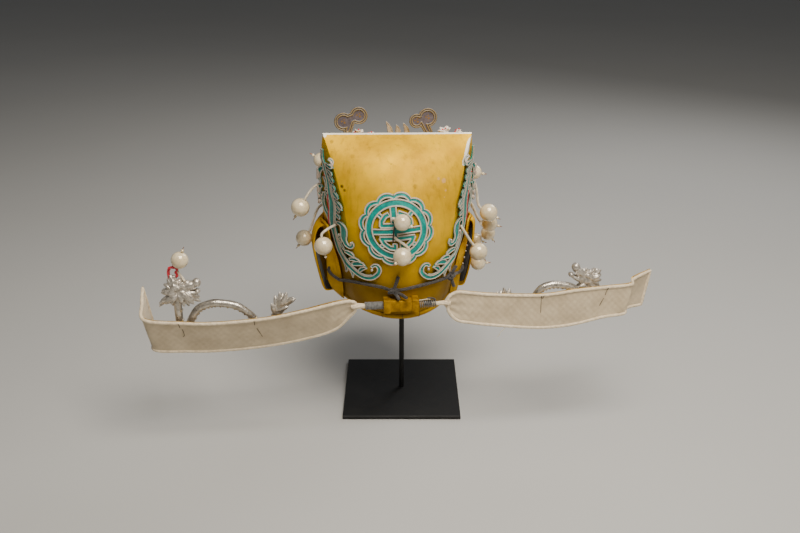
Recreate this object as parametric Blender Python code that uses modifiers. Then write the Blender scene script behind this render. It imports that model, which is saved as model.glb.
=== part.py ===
"""Chinese opera headdress on its display stand, as the photo shows it: from behind.

The headdress is a tall moulded crown that sits in a lower front shell. A cord across the back ties the
two together. Two long wings plug into a socket at the back, and pearls tremble on sprung wires.
World frame: metres, +Z up, the origin under the middle of the stand plate, the back of the headdress
towards -Y. Everything but the stand hangs from the empty "headdress", whose frame has its origin at the
middle of the crown's rim.
"""
import math

import bmesh
import bpy
import numpy as np
from mathutils import Matrix, Vector
from mathutils.bvhtree import BVHTree

# Clearances and walls
GAP = 0.0003  # between two pieces that touch
CARD = 0.0020  # moulded card of the crown and the front shell
FLAP_CARD = 0.0016
ROUNDEL_SEAT = 0.0008  # under the roundel on the curved back
SCROLL_SEAT = 0.0016  # under the scrolls, which bridge the creases
TRIM_CARD = 0.0020
FAN_SEAT = 0.0010  # between the crown and the front shell round it

# Stand
PLATE_WIDTH = 0.150
PLATE_THICKNESS = 0.005
PLATE_EDGE = 0.0006
ROD_RADIUS = 0.0032
KNOB_RADIUS = 0.012

# Place of the headdress over the stand
HAT_RISE = 0.154
HAT_OFFSET = -0.008
HAT_YAW = math.radians(5.0)

# Crown
CROWN_HEIGHT = 0.207
CROWN_HALF_WIDTH = 0.090
CROWN_BACK = 0.106
CROWN_FRONT = 0.096
ROLL_RADIUS = 0.0037
ROLL_INSET = 0.0022  # of its centre line from the crown's outer face
ARC_STEPS = 7
GUSSET_STEPS = 1
# Shares of the crown's height, back, half-width and front:
# height, back, crease across, crease back, side across, side back, front
CROWN_SECTIONS = (
    (0.000, 0.953, 0.578, 0.585, 0.811, 0.170, 0.958),
    (0.155, 0.991, 0.628, 0.679, 0.867, 0.179, 0.995),
    (0.309, 1.000, 0.661, 0.726, 0.922, 0.189, 1.000),
    (0.464, 0.991, 0.683, 0.726, 0.972, 0.189, 0.948),
    (0.623, 0.943, 0.717, 0.698, 1.000, 0.198, 0.823),
    (0.778, 0.830, 0.800, 0.623, 1.000, 0.236, 0.562),
    (0.908, 0.637, 0.883, 0.509, 0.981, 0.302, 0.146),
    (1.000, 0.354, 0.959, 0.354, 0.959, 0.354, -0.391),
)
CROWN_ROWS = (0.15, 0.28, 0.41, 0.53, 0.65, 0.76, 0.85, 0.93, 1.0)

# Front shell and cheek flaps
FAN_SIDE_HEIGHT = 0.100
FAN_FRONT_HEIGHT = 0.122
FAN_FLARE = 0.0045
FAN_REAR = 0.62
CHEEK_HEIGHT = 0.101
CHEEK_FLARE = 0.012
CHEEK_REAR = 0.85
CHEEK_END = 1.36
FRONT_WAYS = tuple(1 + i / ARC_STEPS for i in range(ARC_STEPS + 1))
CHEEK_WAYS = (CHEEK_REAR, *(way for way in FRONT_WAYS if way < CHEEK_END - 0.04), CHEEK_END)
FLAP_SEAT = 0.0007  # between the front shell and the flap's foot and top
LINING = 0.0010
# Shares of the flare and of the height: a flap's profile from its foot to its folded top
CHEEK_PROFILE = ((0.0, 0.0), (0.3, 0.03), (0.65, 0.15), (0.93, 0.37), (1.0, 0.64), (0.94, 0.86),
                 (0.72, 0.97), (0.35, 1.0), (0.0, 1.0))

# Roundel
ROUNDEL_X = -0.0075
ROUNDEL_Z = 0.1160
ROUNDEL_TILT = math.radians(4.5)
ROUNDEL_LOBES = 12
LOBE_TIP = 0.0435
LOBE_VALLEY = 0.0395
LOBE_INNER = 0.0385
RING_OUTER = 0.0355
RING_INNER = 0.0282
# Strokes of the longevity figure, as shares of the ring's inner radius: half-width, then points
ROUNDEL_STROKES = (
    (0.120, ((-0.07, 1.08), (-0.07, 0.72), (-0.07, 0.30))),
    (0.075, ((-0.06, 0.34), (-0.06, 0.0), (-0.06, -0.37))),
    (0.085, ((-0.64, 0.22), (-0.30, 0.22), (0.0, 0.22), (0.30, 0.22), (0.62, 0.22))),
    (0.110, ((-1.08, -0.04), (-0.75, -0.04), (-0.40, -0.04), (0.0, -0.04), (0.40, -0.04), (0.75, -0.04),
             (1.08, -0.04))),
    (0.085, ((-0.70, -0.34), (-0.35, -0.34), (0.0, -0.34), (0.35, -0.34), (0.70, -0.34))),
    (0.080, ((-0.60, 0.20), (-0.58, 0.40), (-0.44, 0.60), (-0.28, 0.68))),
    (0.080, ((0.60, 0.20), (0.58, 0.40), (0.40, 0.60), (0.14, 0.72))),
    (0.080, ((-0.66, -0.32), (-0.55, -0.56), (-0.34, -0.74), (-0.14, -0.78), (-0.12, -0.58))),
    (0.080, ((0.66, -0.32), (0.55, -0.56), (0.34, -0.74), (0.16, -0.76), (0.16, -0.56))),
)
TIE_HALF_WIDTH = 0.070

# Scrolls, in shares of the crown's half-width and height:
# across, up, half-width towards the crown's side, half-width towards its middle, barbs 0 or 1
SCROLL_STEM = (
    (0.985, 0.895, 0.004, 0.010, 0),
    (0.965, 0.825, 0.020, 0.085, 1),
    (0.930, 0.745, 0.030, 0.075, 1),
    (0.890, 0.667, 0.050, 0.080, 1),
    (0.860, 0.580, 0.055, 0.085, 1),
    (0.840, 0.507, 0.045, 0.060, 1),
    (0.812, 0.435, 0.035, 0.035, 0),
    (0.768, 0.353, 0.035, 0.045, 1),
    (0.690, 0.295, 0.040, 0.085, 1),
    (0.570, 0.261, 0.040, 0.100, 1),
    (0.435, 0.249, 0.035, 0.060, 1),
    (0.335, 0.265, 0.035, 0.028, 0),
    (0.290, 0.310, 0.030, 0.025, 0),
    (0.330, 0.333, 0.022, 0.018, 0),
    (0.375, 0.322, 0.012, 0.010, 0),
)
SCROLL_BRANCH = (
    (0.845, 0.520, 0.030, 0.030, 0),
    (0.745, 0.548, 0.030, 0.028, 0),
    (0.690, 0.520, 0.026, 0.024, 0),
    (0.678, 0.464, 0.024, 0.022, 0),
    (0.645, 0.418, 0.020, 0.020, 0),
    (0.607, 0.432, 0.012, 0.012, 0),
)
SCROLL_STEPS = 2

# Wing socket and springs
SOCKET_X = -0.0025
SOCKET_Z = 0.0240
SOCKET_LENGTH = 0.041
SOCKET_HEIGHT = 0.0135
SOCKET_DEPTH = 0.0110
COLLAR_LENGTH = 0.0080
COLLAR_STEP = 0.0015
PEG_LENGTH = 0.0060
SPRING_RADIUS = 0.0046
SPRING_WIRE = 0.00065
SPRING_TURNS = 8
SPRING_LENGTH = 0.021
NECK_RADIUS = 0.0026
NECK_INSERT = 0.0070
NECK_SHOWN = 0.0078  # between the spring and the wing's corner

# Wings: outline from the neck to the fold and over the folded tip
WING_THICKNESS = 0.0020
WING_RIM = 0.0021
WING_REACH = 0.240
WING_DEPTH = 0.046
# Shares of the reach and of the depth: outwards, top, bottom, top forward, bottom forward
WING_LEFT = (
    (0.000, 0.060, -0.050, 0.00, 0.00),
    (0.040, 0.150, -0.300, -0.02, 0.05),
    (0.115, 0.100, -0.700, -0.04, 0.14),
    (0.265, -0.070, -0.980, -0.06, 0.24),
    (0.455, -0.240, -1.160, -0.06, 0.28),
    (0.685, -0.310, -1.240, -0.06, 0.28),
    (0.840, -0.270, -1.220, -0.05, 0.28),
    (1.000, -0.170, -1.170, 0.00, 0.30),
    (1.013, 0.150, -1.060, 0.30, 0.60),
    (1.015, 0.410, -0.960, 0.64, 0.95),
)
WING_RIGHT = (
    (0.000, 0.060, -0.050, 0.00, 0.00),
    (0.060, 0.290, -0.470, 0.02, 0.00),
    (0.140, 0.250, -0.560, 0.04, -0.04),
    (0.255, 0.190, -0.650, 0.04, -0.04),
    (0.480, 0.160, -0.760, 0.02, -0.04),
    (0.650, 0.300, -0.690, 0.02, -0.03),
    (0.795, 0.390, -0.500, 0.02, -0.02),
    (0.893, 0.455, -0.420, 0.02, 0.00),
    (0.905, 0.520, -0.300, 0.10, 0.08),
    (1.010, 0.700, -0.330, 0.34, 0.32),
)
LEFT_END_SLANT = 0.012

# Dragons on the wings' front faces
DRAGON_RADIUS = 0.0045
# Shares of the wing's reach and depth: outwards, up
DRAGON_LEFT = ((0.865, 0.62), (0.858, 0.10), (0.850, -0.50), (0.825, -0.62), (0.800, -0.35), (0.760, 0.05),
               (0.715, 0.18), (0.675, 0.21), (0.600, 0.12), (0.545, -0.15), (0.505, -0.42), (0.470, -0.58),
               (0.440, -0.40), (0.405, -0.10), (0.370, 0.02))
DRAGON_RIGHT = ((0.720, 0.48), (0.738, 0.22), (0.732, -0.04), (0.715, -0.22), (0.690, 0.00), (0.655, 0.32),
                (0.600, 0.43), (0.540, 0.45), (0.490, 0.34), (0.455, 0.05), (0.430, -0.30), (0.400, -0.40),
                (0.370, -0.25), (0.345, -0.08), (0.320, -0.02))
# How far in front of the left and the right wing's middle line a dragon's body lies
DRAGON_REACH = (0.045 * WING_DEPTH + WING_RIM + DRAGON_RADIUS + GAP,
                0.02 * WING_DEPTH + WING_RIM + DRAGON_RADIUS + GAP)
HEAD_LENGTH = 0.036
# How far a head leans forward from its body, and how much of that its neck does, left and right
HEAD_LEAN = (0.0, 0.0062)
NECK_LEAN = (1.0, 0.5)
SPIKE_SPIN = 0.37
MANE_SPLAY = 0.45
# Along the snout, up, and length as shares of the head's length
MANE = ((-1.0, 0.15, 0.46), (-1.0, 0.55, 0.50), (-0.6, 1.0, 0.44), (-1.0, -0.30, 0.50),
        (-0.55, -0.85, 0.44), (0.05, -1.0, 0.42), (0.55, -0.75, 0.46), (-0.1, 1.0, 0.36))

# Ornaments that show above the ridge; "up" is from the ridge's height
CURL_CARD = 0.0030
CURL_Y = 0.020
CURL_NECK = 0.0030
# Side, two lobes as across, up and radius, then the foot as across and up
CURLS = (
    ("left", ((-0.0608, 0.0020, 0.0105), (-0.0422, 0.0092, 0.0100)), (-0.0561, -0.0093)),
    ("right", ((0.0280, 0.0012, 0.0082), (0.0414, 0.0052, 0.0110)), (0.0427, -0.0127)),
)
CREST_CARD = 0.0024
CREST_Y = 0.030
CREST_DROP = 0.0170  # of the flames' bases under the ridge
# Base across, tip across, rise of the tip over the base
FLAMES = ((-0.0025, -0.0081, 0.0155), (0.0062, 0.0043, 0.0109), (0.0179, 0.0130, 0.0129))
FLAME_WIDTH = 0.0046
STALK_RADIUS = 0.0014
# Across, forward, up, radius
BLOSSOMS = ((-0.0430, 0.020, -0.0080, 0.0054), (-0.0276, 0.020, -0.0104, 0.0050),
            (0.0545, 0.008, -0.0035, 0.0054), (0.0740, -0.004, -0.0005, 0.0056))

# Pearls and their wires
PEARL_RADIUS = 0.0105
BORE_RADIUS = 0.0009
STEM_RADIUS = 0.00125
STEM_SEAT = 0.0005
STEM_COLLAR = 0.0015  # straight run before the pearl
STEM_BENDS = (0.50, 0.22)  # shares of its length: how far it keeps its first and its last direction
WIRE_RADIUS = 0.0005
BEAD_RADIUS = 0.0020
WIRE_END = 0.0032
PEARL_SIDES = 10
SEATS = ("crown", "front_fan", "cheek_left", "cheek_right", "medallion", "scroll_left", "scroll_right",
         "dragon_left")
# Name, what carries it, the side that its root is met from, the root and the pearl's centre as shares
# measured from what carries it, the way that the wire leaves the pearl, and the radius's share
PEARLS = (
    ("left_1", "crown", "left", (0, -0.213, 0.700), (-1.284, -0.330, 0.580), (-0.50, 0.0, -0.87), 1.05),
    ("left_2", "crown", "back", (-0.828, 0, 0.504), (-0.997, -0.679, 0.409), (0.16, -0.20, -0.97), 1.02),
    ("left_3", "crown", "left", (0, -0.047, 0.546), (-1.261, -0.075, 0.343), (-0.60, 0.0, -0.80), 0.96),
    ("left_4", "crown", "left", (0, 0.330, 0.725), (-0.993, 0.425, 0.746), (-0.80, 0.20, 0.50), 0.90),
    ("right_1", "crown", "right", (0, 0.189, 0.725), (1.126, 0.189, 0.683), (0.97, 0.0, -0.21), 0.86),
    ("right_2", "crown", "right", (0, -0.189, 0.691), (1.261, -0.189, 0.490), (0.84, 0.0, -0.54), 1.05),
    ("right_3", "crown", "right", (0, -0.047, 0.546), (1.323, 0.0, 0.385), (0.95, 0.0, -0.30), 0.96),
    ("right_4", "crown", "right", (0, 0.283, 0.556), (1.361, 0.236, 0.277), (0.60, 0.0, -0.80), 0.90),
    ("right_5", "crown", "back", (0.822, 0, 0.478), (1.080, -0.472, 0.301), (0.58, 0.20, -0.79), 1.05),
    ("right_6", "crown", "right", (0, 0.472, 0.290), (1.209, 0.330, 0.221), (0.90, -0.2, -0.30), 0.75),
    ("right_7", "crown", "right", (0, 0.094, 0.145), (1.180, 0.0, 0.130), (1.0, 0.0, -0.04), 0.93),
    ("centre_1", "roundel", "back", (-0.085, 0, 0.320), (0.216, -0.410, 0.358), (0.86, -0.42, -0.30), 0.90),
    ("centre_2", "roundel", "back", (-0.043, 0, -0.372), (0.202, -0.638, -1.011),
     (-0.66, -0.66, -0.35), 1.00),
    ("wing", "dragon", "top", (0.20, 0, 0), (0.11, 0.03, 0.875), (0.34, 0.0, 0.94), 0.93),
)

# Tie cord
CORD_RADIUS = 0.0015
CORD_LIFT = 0.0026  # of its centre line over the crown
KNOT_RADIUS = 0.0040
KNOT_LENGTH = 0.0055
KNOTS = (("centre", -0.0103, 0.0413), ("right", 0.0560, 0.0460))
# Up and way on the crown's side, from the flap's pocket round the front shell's rear edge
LACE_LEFT = ((0.050, 0.80), (0.046, 0.70), (0.043, 0.61), (0.041, 0.48), (0.040, 0.25))
LACE_RIGHT = ((0.048, 0.80), (0.040, 0.70), (0.034, 0.61), (0.034, 0.48), (0.037, 0.25))
# Across and up on the crown's back
CORD_LEFT = ((-0.0576, 0.0409), (-0.0373, 0.0440), (-0.0228, 0.0436))
CORD_MIDDLE = ((0.0040, 0.0426), (0.0262, 0.0450), (0.0440, 0.0447))
# Knot, then each tail's bend and end from the knot: across, forward, up
TAILS = (
    ("centre", (0.0030, -0.0010, 0.0090), (0.0060, 0.0010, 0.0170)),
    ("centre", (0.0040, -0.0050, -0.0040), (0.0060, -0.0100, -0.0065)),
    ("centre", (0.0090, -0.0040, -0.0030), (0.0150, -0.0085, -0.0060)),
    ("right", (0.0020, -0.0020, 0.0070), (0.0060, 0.0010, 0.0120)),
    ("right", (0.0010, -0.0040, -0.0060), (0.0030, -0.0050, -0.0120)),
)

# Ribbon on the left dragon
RIBBON_ASIDE = 0.23  # share of the head's length
RIBBON_CARD = 0.0010
RIBBON_WIDTH = 0.0036
RIBBON_HEIGHT = 0.0190

GOLD_CARD = ("gold_card", (0.55, 0.31, 0.03), 0.35, 0.1)
TEAL = ("teal_trim", (0.0, 0.33, 0.31), 0.4, 0.0)
SILVER = ("silver_metal", (0.62, 0.58, 0.52), 0.3, 1.0)
CLOTH = ("wing_cloth", (0.66, 0.60, 0.51), 0.7, 0.0)
GREY_CLOTH = ("grey_cloth", (0.09, 0.08, 0.08), 0.9, 0.0)
RED_CLOTH = ("red_ribbon", (0.62, 0.01, 0.04), 0.6, 0.0)
STEEL = ("stand_steel", (0.012, 0.012, 0.013), 0.4, 0.5)
SPRING_STEEL = ("spring_steel", (0.28, 0.27, 0.26), 0.4, 1.0)
PEARL = ("pearl", (0.83, 0.75, 0.62), 0.2, 0.0)
STEM = ("stem_wrap", (0.75, 0.68, 0.55), 0.7, 0.0)
CORD = ("tie_cord", (0.07, 0.065, 0.06), 0.9, 0.0)
BLOSSOM = ("blossom_white", (0.80, 0.74, 0.66), 0.5, 0.0)


def clear_scene():
    """Remove every object that the file opened with."""
    for thing in list(bpy.data.objects):
        bpy.data.objects.remove(thing, do_unlink=True)


def collection(name):
    """Make a collection under the scene."""
    made = bpy.data.collections.new(name)
    bpy.context.scene.collection.children.link(made)
    return made


def finish_of(look, node):
    """A material of the object's own, from one of the looks named above."""
    _, colour, roughness, metallic = look
    made = bpy.data.materials.new(f"{node}_{look[0]}")
    made.use_nodes = True
    shader = made.node_tree.nodes["Principled BSDF"]
    shader.inputs["Base Color"].default_value = (*colour, 1.0)
    shader.inputs["Roughness"].default_value = roughness
    shader.inputs["Metallic"].default_value = metallic
    return made


def add_part(name, data, look, parent, smooth=40.0):
    """Link mesh or curve data as a node of the headdress."""
    part = bpy.data.objects.new(name, data)
    PARTS.objects.link(part)
    part.parent = parent
    data.materials.append(finish_of(look, name))
    if isinstance(data, bpy.types.Mesh):
        data.shade_smooth()
        data.set_sharp_from_angle(angle=math.radians(smooth))
    return part


def add_cutter(name, data):
    """Link an object that only feeds a Boolean."""
    part = bpy.data.objects.new(name, data)
    CUTTERS.objects.link(part)
    part.hide_render = True
    part.display_type = "WIRE"
    return part


def modifier(part, kind, **settings):
    """Add a modifier with its settings."""
    made = part.modifiers.new(kind.lower(), kind)
    for key, value in settings.items():
        setattr(made, key, value)
    return made


def evaluated_mesh(part):
    """The mesh that a part shows once its modifiers are worked out."""
    bpy.context.view_layer.update()
    return bpy.data.meshes.new_from_object(part.evaluated_get(bpy.context.evaluated_depsgraph_get()))


def loft(name, rings, capped=True, wrapped=True, closed=False):
    """Join rings of points into a mesh: wrapped rings, capped ends, or the last ring back to the first."""
    bm = bmesh.new()
    rows = [[bm.verts.new(point) for point in ring] for ring in rings]
    pairs = list(zip(rows, rows[1:]))
    if closed:
        pairs.append((rows[-1], rows[0]))
    for low, high in pairs:
        count = len(low)
        for i in range(count if wrapped else count - 1):
            j = (i + 1) % count
            bm.faces.new((low[i], low[j], high[j], high[i]))
    if capped:
        bm.faces.new(list(reversed(rows[0])))
        bm.faces.new(rows[-1])
    bmesh.ops.remove_doubles(bm, verts=bm.verts, dist=1e-6)
    if wrapped:
        bmesh.ops.recalc_face_normals(bm, faces=bm.faces)
    data = bpy.data.meshes.new(name)
    bm.to_mesh(data)
    bm.free()
    return data


def tube_data(name, points, radius, sides=8, radii=None):
    """A wire or tube: a POLY spline with a round bevel and filled caps."""
    data = bpy.data.curves.new(name, "CURVE")
    data.dimensions = "3D"
    data.bevel_depth = radius
    data.bevel_resolution = (sides - 4) // 2
    data.use_fill_caps = True
    data.resolution_u = 1
    spline = data.splines.new("POLY")
    spline.points.add(len(points) - 1)
    for i, point in enumerate(points):
        spline.points[i].co = (*point, 1.0)
        spline.points[i].radius = radii[i] / radius if radii else 1.0
    return data


def tube_mesh(name, points, radius, sides=8, radii=None):
    """The same tube as a closed mesh, so that a Boolean can take it."""
    source = add_cutter(name + "_path", tube_data(name, points, radius, sides, radii))
    data = evaluated_mesh(source)
    bpy.data.objects.remove(source, do_unlink=True)
    bm = bmesh.new()
    bm.from_mesh(data)
    bmesh.ops.remove_doubles(bm, verts=bm.verts, dist=1e-6)
    bmesh.ops.recalc_face_normals(bm, faces=bm.faces)
    bm.to_mesh(data)
    bm.free()
    return data


def smooth_path(points, steps):
    """Catmull-Rom points through the given ones, the given ones among them."""
    rows = np.array(points, float)
    before = 2 * rows[0] - rows[1]
    after = 2 * rows[-1] - rows[-2]
    rows = np.vstack([before, rows, after])
    out = []
    for i in range(1, len(rows) - 2):
        a, b, c, d = rows[i - 1], rows[i], rows[i + 1], rows[i + 2]
        for k in range(steps):
            t = k / steps
            out.append(0.5 * (2 * b + (c - a) * t + (2 * a - 5 * b + 4 * c - d) * t * t
                              + (3 * b - a - 3 * c + d) * t ** 3))
    out.append(rows[-2])
    return out


def united(name, pieces):
    """One closed mesh from overlapping closed meshes."""
    base = add_cutter(name + "_base", pieces[0])
    others = [add_cutter(f"{name}_add_{i}", piece) for i, piece in enumerate(pieces[1:])]
    for other in others:
        modifier(base, "BOOLEAN", operation="UNION", solver="EXACT", object=other)
    data = evaluated_mesh(base)
    data.name = name
    for used in [base, *others]:
        bpy.data.objects.remove(used, do_unlink=True)
    return data


def section(height):
    """The crown's measures at a height: back, crease x, crease y, side x, side y, front."""
    table = np.array(CROWN_SECTIONS)
    share = min(max(height / CROWN_HEIGHT, 0.0), 1.0)
    i = min(int(np.searchsorted(table[:, 0], share, "right")) - 1, len(table) - 2)

    def slope(k):
        low, high = max(k - 1, 0), min(k + 1, len(table) - 1)
        return (table[high] - table[low]) / (table[high, 0] - table[low, 0])

    run = table[i + 1, 0] - table[i, 0]
    t = (share - table[i, 0]) / run
    row = ((2 * t ** 3 - 3 * t ** 2 + 1) * table[i] + (t ** 3 - 2 * t ** 2 + t) * run * slope(i)
           + (3 * t ** 2 - 2 * t ** 3) * table[i + 1] + (t ** 3 - t ** 2) * run * slope(i + 1))
    back, crease_x, crease_y, side_x, side_y, front = row[1:]
    return (-back * CROWN_BACK, crease_x * CROWN_HALF_WIDTH, -crease_y * CROWN_BACK,
            side_x * CROWN_HALF_WIDTH, -side_y * CROWN_BACK, front * CROWN_FRONT)


def back_y(x, z):
    """The back panel and the gussets beside it, as y over x and z."""
    back, crease_x, crease_y, side_x, side_y, _ = section(z)
    across = min(abs(x), side_x)
    if across <= crease_x:
        return back + (crease_y - back) * (across / crease_x) ** 2
    return crease_y + (side_y - crease_y) * (across - crease_x) / max(side_x - crease_x, 1e-5)


def on_back(x, z, out):
    """A point at a height over the crown's back, measured along the surface's normal."""
    step = 0.002
    slope_x = (back_y(x + step, z) - back_y(x - step, z)) / (2 * step)
    slope_z = (back_y(x, z + step) - back_y(x, z - step)) / (2 * step)
    normal = Vector((slope_x, -1.0, slope_z)).normalized()
    return Vector((x, back_y(x, z), z)) + normal * out


def side_plan(z, way):
    """A point in plan on the crown's side: way 0 at the crease, 1 at the side, 2 at the front's middle."""
    _, crease_x, crease_y, side_x, side_y, front = section(z)
    if way <= 1:
        return Vector((crease_x + (side_x - crease_x) * way, crease_y + (side_y - crease_y) * way))
    turn = (way - 1) * math.pi / 2
    return Vector((side_x * math.cos(turn), side_y + (front - side_y) * math.sin(turn)))


def on_side(z, way, out, hand):
    """A point out from the crown's side in plan; hand is -1 on the left and 1 on the right."""
    step = 0.02
    along = side_plan(z, min(way + step, 2.0)) - side_plan(z, way - step)
    normal = Vector((along.y, -along.x)).normalized()
    point = side_plan(z, way) + normal * out
    return Vector((hand * point.x, point.y, z))


def fan_out(z, way):
    """How far the front shell's inner face stands off the crown."""
    loose = max(0.0, 1 - (way - FAN_REAR) / (CHEEK_END - FAN_REAR))
    return FAN_SEAT + FAN_FLARE * z / FAN_SIDE_HEIGHT * loose ** 2


def make_stand():
    """The black steel plate and the rod whose knob holds the crown up from inside."""
    bpy.ops.mesh.primitive_cube_add(size=1, location=(0, 0, PLATE_THICKNESS / 2))
    plate = bpy.context.object
    plate.name = "stand_plate"
    for owner in list(plate.users_collection):
        owner.objects.unlink(plate)
    PARTS.objects.link(plate)
    plate.data.transform(Matrix.Diagonal((PLATE_WIDTH, PLATE_WIDTH, PLATE_THICKNESS, 1)))
    plate.data.materials.append(finish_of(STEEL, "stand_plate"))
    modifier(plate, "BEVEL", width=PLATE_EDGE, segments=1)

    knob = knob_height()
    neck = math.sqrt(KNOB_RADIUS ** 2 - ROD_RADIUS ** 2)
    ball = []
    for i in range(7):
        turn = (i / 6) * (math.pi - math.asin(ROD_RADIUS / KNOB_RADIUS))
        ball.append((KNOB_RADIUS * math.sin(turn), 0, knob + KNOB_RADIUS * math.cos(turn)))
    ball[-1] = (ROD_RADIUS, 0, knob - neck)
    profile = ball + [(ROD_RADIUS, 0, PLATE_THICKNESS + GAP), (0, 0, PLATE_THICKNESS + GAP)]
    rod = add_part("stand_rod", line_data("stand_rod", profile), STEEL, None)
    modifier(rod, "SCREW", steps=12, render_steps=12, use_merge_vertices=True, merge_threshold=0.00001)


def line_data(name, profile, ring=False):
    """A chain of edges for the Screw modifier."""
    edges = [(i, i + 1) for i in range(len(profile) - 1)]
    if ring:
        edges.append((len(profile) - 1, 0))
    data = bpy.data.meshes.new(name)
    data.from_pydata(profile, edges, [])
    return data


def faces_of(names):
    """The faces of the named parts in the headdress's frame, for pieces that seat on them."""
    bm = bmesh.new()
    for name in names:
        part = bpy.data.objects[name]
        data = evaluated_mesh(part)
        data.transform(HAT.matrix_world.inverted() @ part.matrix_world)
        bm.from_mesh(data)
        bpy.data.meshes.remove(data)
    tree = BVHTree.FromBMesh(bm)
    bm.free()
    return tree


def knob_height():
    """The height of the knob's centre that leaves the clearance under the roof."""
    tree = faces_of(["crown"])
    low, high = HAT_RISE, HAT_RISE + CROWN_HEIGHT - KNOB_RADIUS
    for _ in range(30):
        middle = (low + high) / 2
        distance = tree.find_nearest(HAT.matrix_world.inverted() @ Vector((0, 0, middle)))[3]
        if distance < KNOB_RADIUS + GAP:
            high = middle
        else:
            low = middle
    return low


def seat_of(tree, side, point):
    """The first face met on the way to a point from a side: its place and its outward normal."""
    way = Vector({"back": (0, 1, 0), "left": (1, 0, 0), "right": (-1, 0, 0), "top": (0, 0, -1)}[side])
    far = 2 * (CROWN_HEIGHT + CROWN_HALF_WIDTH + CROWN_BACK)
    place, normal, _, _ = tree.ray_cast(Vector(point) - way * far, way)
    return place, normal


def stalk_foot(tree, x, y, half_x, half_y):
    """The height at which a plumb stalk of two half-widths stands clear on the crown's roof."""
    place, normal = seat_of(tree, "top", (x, y, 0))
    return place.z + (abs(normal.x) * half_x + abs(normal.y) * half_y) / normal.z + 1.5 * GAP


def make_crown():
    """The crown: a lofted shell, open below, straight at the ridge."""
    turns = [i * math.pi / 2 / ARC_STEPS for i in range(ARC_STEPS + 1)]
    rim = (2 * ROLL_RADIUS + GAP) / CROWN_HEIGHT
    rings = []
    for share in (rim, *CROWN_ROWS):
        z = share * CROWN_HEIGHT
        back, crease_x, crease_y, side_x, side_y, front = section(z)
        half = []
        for turn in reversed(turns):
            across = math.cos(turn)
            half.append((crease_x * across, back + (crease_y - back) * across ** 2))
        for i in range(1, GUSSET_STEPS):
            half.append(tuple(side_plan(z, i / GUSSET_STEPS)))
        for turn in turns:
            half.append((side_x * math.cos(turn), side_y + (front - side_y) * math.sin(turn)))
        right = [(x, y, z) for x, y in half]
        left = [(-x, y, z) for x, y in reversed(half[1:-1])]
        rings.append(right + left)
    # The top ring is one straight line
    rings[-1] = [(x, section(CROWN_HEIGHT)[0], z) for x, _, z in rings[-1]]
    crown = add_part("crown", loft("crown", rings, capped=False), GOLD_CARD, HAT, smooth=25)
    modifier(crown, "SOLIDIFY", thickness=CARD, offset=-1, use_even_offset=True)
    return crown


def sheet(name, rows, thickness, look, offset=1.0):
    """A card or cloth sheet from rows of points, given its wall by Solidify."""
    part = add_part(name, loft(name, rows, capped=False, wrapped=False), look, HAT)
    modifier(part, "SOLIDIFY", thickness=thickness, offset=offset, use_even_offset=True)
    return part


def make_front_fan():
    """The lower front shell, round the crown from one cheek to the other."""
    ways = [FAN_REAR, CHEEK_REAR, *FRONT_WAYS]
    shares = (0.0, 0.2, 0.4, 0.6, 0.8, 1.0)
    rows = []
    for share in shares:
        row = []
        for hand in (-1, 1):
            half = []
            for way in ways:
                swell = max(0.0, way - 1)
                z = share * (FAN_SIDE_HEIGHT + (FAN_FRONT_HEIGHT - FAN_SIDE_HEIGHT) * swell ** 2)
                half.append(on_side(z, way, fan_out(z, way), hand))
            row += half if hand < 0 else list(reversed(half))[1:]
        rows.append(row)
    sheet("front_fan", rows, CARD, GOLD_CARD, outward(rows))


def outward(rows):
    """Solidify's offset that grows a sheet away from the crown's axis."""
    a, b, c = Vector(rows[0][0]), Vector(rows[0][1]), Vector(rows[1][0])
    normal = (b - a).cross(c - a)
    middle = (a + b + c) / 3
    return 1.0 if normal.dot(Vector((middle.x, middle.y, 0))) > 0 else -1.0


def cheek_rows(hand, inset, ways, profile):
    """Points of a cheek flap's sheet, at an inset from its inner face."""
    rows = []
    for flare, share in profile:
        z = share * CHEEK_HEIGHT
        row = []
        for way in ways:
            fade = (CHEEK_END - way) / (CHEEK_END - CHEEK_REAR)
            bulge = CHEEK_FLARE * flare * math.sin(fade * math.pi / 2)
            out = fan_out(z, way) + CARD + FLAP_SEAT + max(bulge - inset, 0.0)
            row.append(on_side(z, way, out, hand))
        rows.append(row)
    return rows


def make_cheeks():
    """The flared cheek flaps and the grey cloth that shows inside them."""
    lined = CHEEK_WAYS[:3]
    for side, hand in (("left", -1), ("right", 1)):
        rows = cheek_rows(hand, 0.0, CHEEK_WAYS, CHEEK_PROFILE)
        sheet("cheek_" + side, rows, FLAP_CARD, GOLD_CARD, outward(rows[3:]))
        cloth = cheek_rows(hand, LINING + GAP, lined, CHEEK_PROFILE[2:6])
        sheet("lining_" + side, cloth, LINING, GREY_CLOTH, outward(cloth))


def make_rim_roll():
    """The padded roll under the crown's rear rim."""
    half = []
    for way in (0.55, 0.3, 0.0):
        point = on_side(0, way, -ROLL_INSET, 1)
        half.append((point.x, point.y))
    back, crease_x, crease_y = section(0)[:3]
    for share in (0.8, 0.6, 0.4, 0.2, 0.0):
        half.append((crease_x * share, back + ROLL_INSET + (crease_y - back) * share ** 2))
    points = [(x, y, ROLL_RADIUS) for x, y in half]
    points += [(-x, y, ROLL_RADIUS) for x, y in reversed(half[:-1])]
    add_part("rim_roll", tube_data("rim_roll", points, ROLL_RADIUS, sides=8), GOLD_CARD, HAT)


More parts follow.
